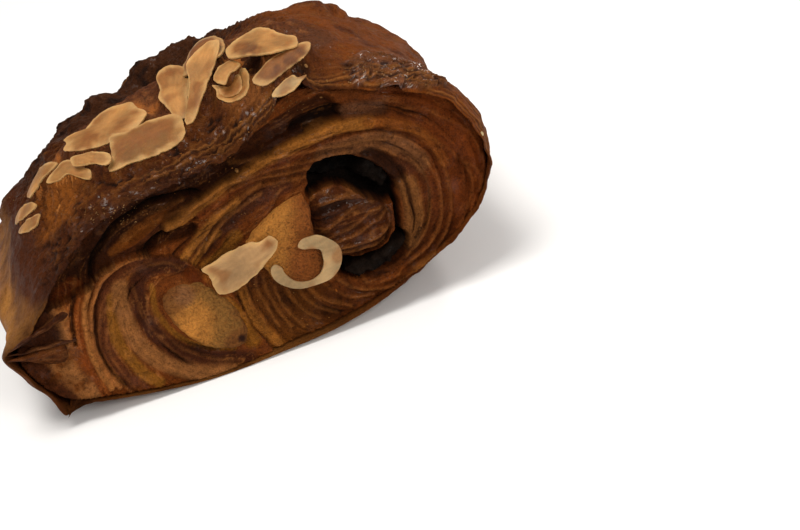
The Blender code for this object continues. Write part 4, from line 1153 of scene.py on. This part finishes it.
crown_cream, points, normals = filling_from("almond_cream_top", "cream_on_crown", CREAM_PITCH)
crust_tree = BVHTree.FromObject(crust, bpy.context.evaluated_depsgraph_get())
upper = normals[:, 2] > 0.05
thickness = np.zeros(len(points))
for k, place in enumerate(points):
    found = crust_tree.ray_cast(Vector((place[0], place[1], 100)) * MM, Vector((0, 0, -1)))[0]
    thickness[k] = place[2] - found.z / MM
thick = ramp(thickness + 0.8 * lumps(points, 4, 104), 1.3, 3.2)
pores = np.clip(lumps(points, 1.2, 101) - 0.3, 0, 1)
lift = 0.35 * lumps(points, 2.2, 100) + 0.15 * lumps(points, 0.9, 102) - 0.6 * pores
lift += CREAM_SINK * (0.75 * thick - 1)
points[:, 2] += np.where(upper, lift, -np.maximum(thickness, 0) - 0.6)
put_points(crown_cream, points)
golden = np.zeros(len(points))
for middle, radius in GOLDEN_SPOTS:
    away = from_spot(points, middle, radius)
    golden = np.maximum(golden, ramp(away + 0.4 * lumps(points, 3, 105), 1.1, 0.5))
tints = lay_all(paint(84, 44, 20), [
    (paint(112, 66, 34), ramp(lumps(points, 2.5, 103), -0.1, 0.5)),
    (paint(158, 92, 38), golden * 0.9),
    (paint(176, 112, 50), golden * ramp(lumps(points, 4, 106), 0.0, 0.5)),
    (paint(48, 22, 10), np.clip(pores * 1.6, 0, 0.8)),
])
put_colour(crown_cream, tints, 0.3)
outward(crown_cream)
stand_for(crown_cream, "almond_cream_top", porous_cream("almond cream, browned"))


# Flaked almonds: thin slices of blanched almond kernel, toasted until they curl a little and their rims
# brown. They are stuck in the cream on the crown, and two cling to the front end.
FLAKE_THICKNESS = 0.66
SHARP = math.radians(48)
FLAKE_SEGMENTS = 96
FLAKE_RINGS = 24
PALE_ALMOND = paint(146, 103, 58)
FACE_ALMOND = paint(141, 109, 76)
WHITE_ALMOND = paint(146, 120, 88)
RIM_ALMOND = paint(196, 156, 106)
TOASTED = paint(122, 72, 27)
BURNT = paint(84, 46, 22)
# length, width, turn, nod towards -Y, lean towards +X, arch, cup, colour, then where each is toasted as
# (x, y, radius, colour) and its outline, in its own plane
FLAKES = [
    (21.6, 11.4, -15, 14, -14, 0.6, 0.5, PALE_ALMOND, [(-3, -4.5, 3.5, TOASTED), (5, -3.5, 2.2, TOASTED)],
    [(-10, 1.1), (-8.9, -2.2), (-9.6, -3.9), (-7.3, -5.8), (-3.7, -7), (-0.2, -7.8), (2.3, -7.4),
    (3.5, -6.3), (6.3, -7.1), (8.3, -5.4), (10.8, -3.5), (11, -1.6), (8.8, 0.7), (7.3, 3.5), (4.2, 3.9),
    (1.2, 3.8), (-1.9, 2.2), (-3.9, -0.6), (-6.9, -0.8)]),
    (11.8, 4.4, -31, 18, -26, 0.3, 0.2, PALE_ALMOND, [], [(-5.2, -1.5), (-4.1, 0.9), (-1.3, 3), (0.4, 3),
    (2.8, 0.5), (7, -1.1), (7, -3.6), (4.1, -2.5), (1, -1.2), (-1.9, -1.9)]),
    (10.6, 6.4, -22, 1, -44, 0.5, 0.3, PALE_ALMOND, [],
     [(-6.3, 0.6), (-3.7, 2.7), (1.4, 3), (6.3, -0.4), (5.7, -2.1), (0.8, -2.3), (-3, -2.9), (-5.1, -1.5)]),
    (10.2, 4.6, -38, 4, -48, 0.4, 0.2, PALE_ALMOND, [],
     [(-5.7, -0.5), (-4.9, 1.9), (1.9, 1.3), (5.6, -0.7), (3.9, -2), (-1.8, -1.9)]),
    (9.1, 4.0, -33, 11, -46, 0.3, 0.2, PALE_ALMOND, [],
     [(-4.4, -0.2), (-4.3, 1.7), (0.2, 1.7), (4.4, 1.2), (3.9, -1.2), (0.4, -1.7)]),
    (15.6, 8.0, 68, 20, -8, 0.4, 0.4, PALE_ALMOND, [(5, 1, 2, TOASTED)],
     [(4, 4.6), (6.4, 3.8), (7.5, 1.2), (5.5, -1.9), (0.8, -3.5), (-5, -3.6), (-9.8, -3.5), (-9.1, -0.7),
      (-6.5, 0.9), (-3.1, 3.4), (-0.2, 3.3)]),
    (20.0, 9.4, 11, 30, -5, 0.9, 0.8, paint(116, 76, 32), [(-6, 0.5, 2.6, TOASTED), (-2, 0.5, 2.8, TOASTED),
    (2, 0.2, 2.8, TOASTED), (5.4, 0, 2.2, TOASTED)], [(-6, 5), (-1.9, 3.6), (2.7, 3.4), (6.2, 2.6),
    (9.1, 0.8), (8.6, -2.9), (6.9, -5), (3.7, -6), (-0.3, -5.7), (-4.7, -4.4), (-9.2, -3.3), (-10.7, -2.1),
    (-8.4, 0), (-7, 3)]),
    (10.4, 3.8, -42, 26, -17, 0.3, 0.2, PALE_ALMOND, [],
     [(-4.5, -0.6), (-2.1, 0.7), (0.8, 1.6), (4.5, 1.6), (5.6, 0.2), (4.8, -1.3), (1.1, -1.5), (-2.2, -2.6),
      (-3.5, -2)]),
    (9.5, 10.4, -13, -3, -17, 0.6, 0.4, paint(108, 62, 28), [(0, 0, 4, TOASTED)],
     [(-4.4, 2.4), (-2.3, 5.9), (0.7, 5.3), (4.2, 1.5), (5.3, -3.6), (4.5, -8.2), (2.8, -9.3), (-0.9, -8.8),
      (-5.3, -7.4), (-6.5, -4.4)]),
    (22.8, 7.8, 50, 26, -17, 0.8, -0.7, PALE_ALMOND, [(-6, 0.2, 1.8, TOASTED), (-2, 1, 1.6, TOASTED)],
     [(3.6, 5.5), (6.7, 5.1), (10.6, 3.6), (11.5, 2.1), (11.1, 0.4), (7, -0.6), (1.5, -1.2), (-4.9, -1.1),
      (-9.7, -0.8), (-11.4, 0.5), (-9.9, 1.7), (-6.2, 2.1), (-0.9, 3.4)]),
    (16.0, 9.4, -19, 14, -6, 0.5, -0.5, PALE_ALMOND, [(-2.4, -3.2, 3.0, BURNT), (-4.5, -1.5, 2.0, TOASTED)],
     [(-7.4, -1.8), (-6.3, 0.8), (-3.1, 3.1), (0.6, 3.8), (4, 1.1), (8.2, -1.7), (8.6, -4.8), (6.4, -6),
      (2.7, -7), (-0.5, -6.1), (-4.3, -5.2), (-6.6, -4.3)]),
    (14.7, 5.2, 13, 30, -9, 0.7, 0.5, paint(118, 74, 38),
     [(-2, -2, 1.6, BURNT), (1.5, -1.7, 1.9, BURNT), (4.5, -1.0, 1.6, BURNT)],
     [(-7.5, 0.1), (-5.6, 1.1), (-1.7, 1.7), (3.6, 1.5), (7.3, 0.5), (7.2, -1), (5.4, -2.3), (2.3, -2.8),
      (-2.8, -3.2), (-5.9, -3), (-7.6, -1.1)]),
    (7.7, 8.2, -7, 22, -22, -1.2, -1.4, PALE_ALMOND, [(-0.4, -0.4, 2.4, TOASTED)],
     [(-4.4, 3.2), (-1.6, 1.5), (0.4, 2.1), (2.1, 3.8), (3.8, 3), (3.8, 0.3), (2.3, -2.5), (-0.1, -3.4),
      (-2.6, -2.8), (-4.2, -0.7), (-4.2, 1.4)]),
    (6.7, 4.2, 8, 22, -16, 0.4, 0.3, PALE_ALMOND, [],
     [(-2.8, 0.5), (-1, 1.8), (2, 1.9), (3.4, -0.5), (2.3, -1.7), (0.1, -1.8), (-1.9, -3.2), (-3.2, -0.8)]),
    (9.1, 3.4, 12, 30, -6, 0.3, 0.1, WHITE_ALMOND, [(3.5, 0.5, 1.5, TOASTED)],
     [(-4.6, 0.2), (-2.5, 1.5), (1.6, 2.2), (2.5, 0.8), (4.4, 0.3), (1.4, -1), (-0.9, -1.4)]),
    (17.8, 6.6, 15, 82, 0, 0.4, 0.3, FACE_ALMOND, [(7.5, 1.2, 1.2, TOASTED)],
     [(-7.9, 4.9), (-4.6, 4.7), (-0.7, 4.7), (3.2, 4.15), (5.2, 3.4), (6.8, 2.4), (7.8, 2.9), (8.9, 2.2),
      (9.4, 0.7), (8.1, -1), (5.2, -1.9), (1.9, -2.9), (-1.5, -3.4), (-3.8, -3.7), (-6.7, -2.7), (-7.7, -1.6),
      (-7.6, 0.3), (-7.2, 1.4), (-7.4, 3.3)]),
]
# the flake that lies in another one's cup: that one's place in the list, and how it is shrunk and shifted
CUPPED = 12
CUPPED_SHRINK = 0.68
CUPPED_SHIFT = (-0.5, 0.4, 0.5)
HOOK_TILT = 82
HOOK_TIPS = 22
HOOK_OUTSIDE = [
    (-8.2, 2.3), (-8.6, 0.1), (-8, -1.8), (-6.2, -3.7), (-3.4, -5.2), (0.6, -5.6), (3.9, -5.3), (6.3, -3.7),
    (7.6, -1.2), (7.5, 1.4), (5.7, 3.7), (3.7, 5.2), (2.1, 5.4), (0.2, 5.4), (-1.5, 4.6),
]
HOOK_HOLE = [
    (-5.9, 1.4), (-5.7, -0.7), (-4, -3.2), (-1.1, -4.3), (1.6, -3.6), (3.1, -1.7), (3.4, 0.3), (3.2, 1.9),
    (1, 2.9), (-0.9, 3.3),
]
ALMOND_WARMTH = (0.94, 0.92, 0.8)


def toasted_almond():
    """Toasted almond: pale and satin, with faint lines along the slice and darker toasted patches."""
    made, shade, shader = new_material("toasted almond", {
        "Specular IOR Level": 0.22, "Subsurface Weight": 0.08, "Subsurface Scale": 0.0012,
    })
    place = shade.node("ShaderNodeTexCoord", output=3)
    patches = grain(shade, place, 320, 3.0, 0.55)
    specks = grain(shade, place, 2200, 3.0, 0.6)
    light = 0.84 + patches * 0.26 + (specks - 0.5) * 0.2
    join(shade, shader, {
        "Base Color": lit(shade, warmed_tint(shade, ALMOND_WARMTH), light),
        "Roughness": 0.66 - patches * 0.24,
        "Normal": relief(shade, 0.8, 0.0002, specks + patches),
    })
    return made


almond_material = toasted_almond()


def finish_flake(piece, node, places, colour, toast, rim, seed):
    """Paint a flake and its toasted patches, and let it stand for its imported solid."""
    washes = [
        (colour * 1.5, 0.28 + 1.2 * lumps(places, 5, seed)),
        (TOASTED * 1.15, 0.6 * ramp(lumps(places, 3.2, seed + 1), 0.05, 0.5)),
        (RIM_ALMOND, 0.7 * ramp(rim + 0.16 * lumps(places, 2.4, seed + 4), 0.74, 1.0)),
    ]
    for x, y, radius, burn in toast:
        away = np.hypot(places[:, 0] - x, places[:, 1] - y) / radius
        washes.append((burn, 0.8 * ramp(away + 0.5 * lumps(places, 1.6, seed + 2), 1.3, 0.3)))
    streaks = lumps(places * (0.2, 1, 1), 0.7, seed + 3)
    light = np.clip(1 + 0.16 * streaks + 0.12 * lumps(places, 0.6, seed + 4), 0.6, 1.4)
    put_colour(piece, lay_all(colour, washes) * light[:, None], 0.3)
    outward(piece)
    bpy.ops.object.shade_smooth_by_angle(angle=SHARP)
    stand_for(piece, node, almond_material)


def settle_on_node(piece, node, places, turn):
    """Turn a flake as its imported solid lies, with its middle in the middle of the solid's box."""
    low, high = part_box(node)
    put_points(piece, places @ np.array(turn).T + np.array((low + high) / 2) / MM)


def almond_slice(name, node, spec, seed, shrink=1.0, shift=(0, 0, 0)):
    """Make one flake from its outline: a flattened ball, thinner at its rim, bent as its solid is."""
    length, width, turn, nod, lean, arch, cup, colour, toast, outline = spec
    flake = new_piece(name, bpy.ops.mesh.primitive_uv_sphere_add,
                      segments=FLAKE_SEGMENTS, ring_count=FLAKE_RINGS, radius=1)
    ball = points_of(flake, 1)
    angle = np.arctan2(ball[:, 1], ball[:, 0])
    polar = np.arctan2(np.hypot(ball[:, 0], ball[:, 1]), ball[:, 2]) / math.pi
    reach = np.clip(np.minimum(polar, 1 - polar) / 0.45, 0, 1)
    side = np.where(polar < 0.5, 1.0, -1.0) * ramp(np.abs(polar - 0.5), 0.0, 0.03)
    rim = smooth_line(outline, 0.35, closed=True)
    middle = (rim.min(axis=0) + rim.max(axis=0)) / 2
    from_middle = rim - middle
    rim_angle = np.arctan2(from_middle[:, 1], from_middle[:, 0])
    radius = np.interp(angle, rim_angle, np.linalg.norm(from_middle, axis=1), period=math.tau)
    circle = np.stack((np.cos(angle), np.sin(angle), np.full(len(ball), seed * 1.9)), axis=1)
    ragged = 1 + 0.05 * lumps(circle, 0.3, 110 + seed) + 0.025 * lumps(circle, 0.1, 130 + seed)
    radius *= reach * ragged * shrink
    x = middle[0] + radius * np.cos(angle)
    y = middle[1] + radius * np.sin(angle)
    bend = arch * (1 - (2 * x / length) ** 2) + cup * (1 - (2 * y / width) ** 2) / 2 - (arch + cup / 2) / 2
    places = np.stack((x, y, bend), axis=1)
    places[:, 2] += 0.22 * lumps(places * (1, 1, 0), 4, 150 + seed)
    places[:, 2] += 0.3 * reach**3 * lumps(circle, 0.6, 170 + seed)
    places[:, 2] += side * FLAKE_THICKNESS / 2 * (1 - 0.5 * ramp(reach, 0.7, 1.0))
    tilt = Matrix.Rotation(math.radians(nod), 3, "X") @ Matrix.Rotation(math.radians(lean), 3, "Y")
    settle_on_node(flake, node, places + shift, tilt @ Matrix.Rotation(math.radians(turn), 3, "Z"))
    finish_flake(flake, node, places, colour, toast, reach, 190 + 5 * seed)
    return flake


almonds = []
for k, spec in enumerate(FLAKES):
    almonds.append(almond_slice(f"almond_{k + 1:02d}", f"flake_{k + 1:02d}", spec, k))
cupped_node = f"flake_{CUPPED + 1:02d}"
almonds.append(almond_slice("almond_in_cup", cupped_node, FLAKES[CUPPED], 17, CUPPED_SHRINK, CUPPED_SHIFT))

# the hook: a strip between its two edges, narrow at both tips
hook = new_piece("almond_hook", bpy.ops.mesh.primitive_grid_add, size=2,
                 x_subdivisions=120, y_subdivisions=10)
unit = points_of(hook, 1)
share = (unit[:, 0] + 1) / 2
edges = []
for line in (HOOK_OUTSIDE, HOOK_HOLE):
    edge = smooth_line(line, 0.1)
    run = np.linspace(0, 1, len(edge))
    edges.append(np.stack([np.interp(share, run, edge[:, k]) for k in (0, 1)], axis=1))
tip = np.minimum(1, np.minimum(share, 1 - share) * HOOK_TIPS)
across = (unit[:, 1] * np.sqrt(np.clip(1 - (1 - tip) ** 2, 0.03, 1)))[:, None]
strip = (edges[0] + edges[1]) / 2 + (edges[0] - edges[1]) / 2 * across
curl = 0.12 - 0.12 * across[:, 0] + 0.15 * lumps(np.stack((*strip.T, share), axis=1), 3, 201)
strip = np.stack((*strip.T, curl), axis=1)
put_points(hook, strip)
wall = hook.modifiers.new("thickness", "SOLIDIFY")
wall.thickness = FLAKE_THICKNESS * MM
wall.offset = 0
bpy.ops.object.modifier_apply(modifier=wall.name)
round_off = hook.modifiers.new("worn rim", "BEVEL")
round_off.width = 0.12 * MM
round_off.segments = 2
round_off.limit_method = "ANGLE"
bpy.ops.object.modifier_apply(modifier=round_off.name)
places = points_of(hook)
settle_on_node(hook, "flake_hook", places, Matrix.Rotation(math.radians(HOOK_TILT), 3, "X"))
finish_flake(hook, "flake_hook", places, WHITE_ALMOND, [], np.zeros(len(places)), 260)


# The crust and the cream give way under the flakes, and rise to hold them.
FILLET_EDGES = 40
FILLET_FALL = 0.97


def bed(piece, tree, chosen, lowest, highest, gap=0.04):
    """Bring chosen points of a piece to a gap under the flake over them, by so much down or up at most.

    The points round them follow less and less with each edge, so that a fillet rises to each flake.
    """
    points = points_of(piece)
    lift = np.zeros(len(points))
    held = np.zeros(len(points), bool)
    for k in np.flatnonzero(chosen & (points[:, 2] > 30)):
        start = Vector(points[k]) - Vector((0, 0, lowest))
        found = tree.ray_cast(start, Vector((0, 0, 1)), lowest + highest)[0]
        if found is not None:
            lift[k] = found.z - gap - points[k, 2]
            held[k] = True
    ends = np.zeros(len(piece.data.edges) * 2, np.int32)
    piece.data.edges.foreach_get("vertices", ends)
    one, other = ends.reshape(-1, 2).T
    beside = np.bincount(ends, minlength=len(points))
    for _ in range(FILLET_EDGES):
        around = np.bincount(one, lift[other], len(points)) + np.bincount(other, lift[one], len(points))
        lift = np.where(held, lift, FILLET_FALL * around / beside)
    points[:, 2] += lift
    put_points(piece, points)


corners = []
faces = []
for flake in almonds:
    faces += [tuple(len(corners) + k for k in face.vertices) for face in flake.data.polygons]
    corners += [v.co / MM for v in flake.data.vertices]
undersides = BVHTree.FromPolygons(corners, faces)
crust_places = points_of(crust)
near_flakes = (crust_places[:, 0] < 30) & (crust_places[:, 1] < 14)
bed(crust, undersides, skin & near_flakes, 1.6, 4.5)
bed(crust, undersides, ~skin & near_flakes, 2.0, 0.5, 0.5)
bed(crown_cream, undersides, np.ones(len(crown_cream.data.vertices), bool), 1.2, 4.0)


# Crumbs: bits of crust, almond and sugar that fell on it or baked on. Those that the photograph shows one by
# one are set where its pixels show them, on whatever lies there, and the finest are strewn along the crust.
# The pale ones are partly painted highlights, set where glints show.

# each: its pixel, its width in millimetres and its colour
CRUMBS = [
    ((241, 122), 0.75, paint(140, 96, 54)), ((241, 139), 0.8, paint(126, 84, 50)),
    ((321, 97), 0.7, paint(150, 110, 76)), ((327, 81), 0.6, paint(150, 108, 70)),
    ((181, 154), 0.7, paint(132, 80, 40)), ((237, 171), 1.25, paint(150, 108, 70)),
    # the whitish crumb at (482, 134) is partly a painted highlight
    ((336, 290), 0.8, paint(150, 84, 30)), ((482, 134), 1.1, paint(196, 180, 158)),
    ((232, 168), 0.6, paint(150, 100, 60)), ((306, 66), 0.9, paint(150, 112, 80)),
    ((249, 132), 0.5, paint(120, 80, 46)), ((143, 128), 0.6, paint(136, 96, 58)),
]
# each: the pixel in the middle of the field, how far the field reaches across and up, how many, their colour
# the paler grains strewn on the glaze and the rough crust are sugar, and partly painted glints
STREWN = [
    ((60, 205), (100, 12), 95, paint(126, 92, 66)), ((110, 214), (26, 10), 40, paint(150, 116, 88)),
    ((170, 165), (60, 26), 60, paint(122, 84, 54)), ((285, 95), (26, 18), 45, paint(138, 104, 76)),
    ((385, 75), (44, 12), 60, paint(150, 118, 92)), ((330, 60), (60, 30), 40, paint(120, 80, 52)),
    ((270, 300), (60, 40), 26, paint(140, 96, 56)), ((200, 210), (60, 20), 30, paint(120, 80, 50)),
]
CRUMB_LIFT = 0.12


def pixel_way(x, y):
    """The direction from the camera through a pixel of the photograph."""
    return (right * (x - PHOTO_WIDTH / 2) + up * (PHOTO_HEIGHT / 2 - y) - back * focal).normalized()


def heap_up(name, spots):
    """Join many crumbs, each a small crumpled ball at its place, size and colour, into one piece."""
    seed_piece = new_piece("one crumb", bpy.ops.mesh.primitive_ico_sphere_add, subdivisions=1, radius=1)
    ball = points_of(seed_piece, 1)
    sides = [tuple(face.vertices) for face in seed_piece.data.polygons]
    bpy.data.objects.remove(seed_piece)
    draw = np.random.default_rng(11)
    corners = []
    faces = []
    colours = []
    for place, normal, size, colour in spots:
        spin = Matrix.Rotation(draw.uniform(0, math.tau), 3, "Z")
        turn = np.array(normal.to_track_quat("Z", "Y").to_matrix() @ spin)
        crumple = draw.uniform(0.7, 1.25, (len(ball), 1))
        shape = ball * crumple * (size / 2 * draw.uniform((1, 0.5, 0.35), (1.6, 0.9, 0.6)))
        faces += [tuple(len(corners) * len(ball) + k for k in side) for side in sides]
        corners.append(shape @ turn.T + np.array(place + normal * size * CRUMB_LIFT))
        colours.append(np.tile(colour * draw.uniform(0.75, 1.25), (len(ball), 1)))
    mesh = bpy.data.meshes.new(name)
    mesh.from_pydata((np.concatenate(corners) * MM).tolist(), [], faces)
    piece = bpy.data.objects.new(name, mesh)
    bpy.context.scene.collection.objects.link(piece)
    put_colour(piece, np.concatenate(colours), 0.5)
    piece.data.materials.append(crust_material)
    outward(piece)
    bpy.ops.object.shade_flat()
    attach(piece, "root")


bpy.context.view_layer.update()
graph = bpy.context.evaluated_depsgraph_get()
trees = [BVHTree.FromObject(piece, graph) for piece in (crust, front_layers, crown_cream)]
draw = np.random.default_rng(7)
wanted = list(CRUMBS)
for (x, y), (wide, tall), count, colour in STREWN:
    for _ in range(count):
        at = (x + draw.uniform(-wide, wide), y + draw.uniform(-tall, tall))
        wanted.append((at, draw.uniform(0.16, 0.42), colour))
spots = []
for (x, y), size, colour in wanted:
    hits = [tree.ray_cast(eye * MM, pixel_way(x, y)) for tree in trees]
    hits = [hit for hit in hits if hit[0] is not None]
    if hits:
        place, normal, _, _ = min(hits, key=lambda hit: hit[3])
        spots.append((place / MM, normal, size, colour))
heap_up("crumbs", spots)


size = {"cad": cad_box, "visual": [list(corner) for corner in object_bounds()]}
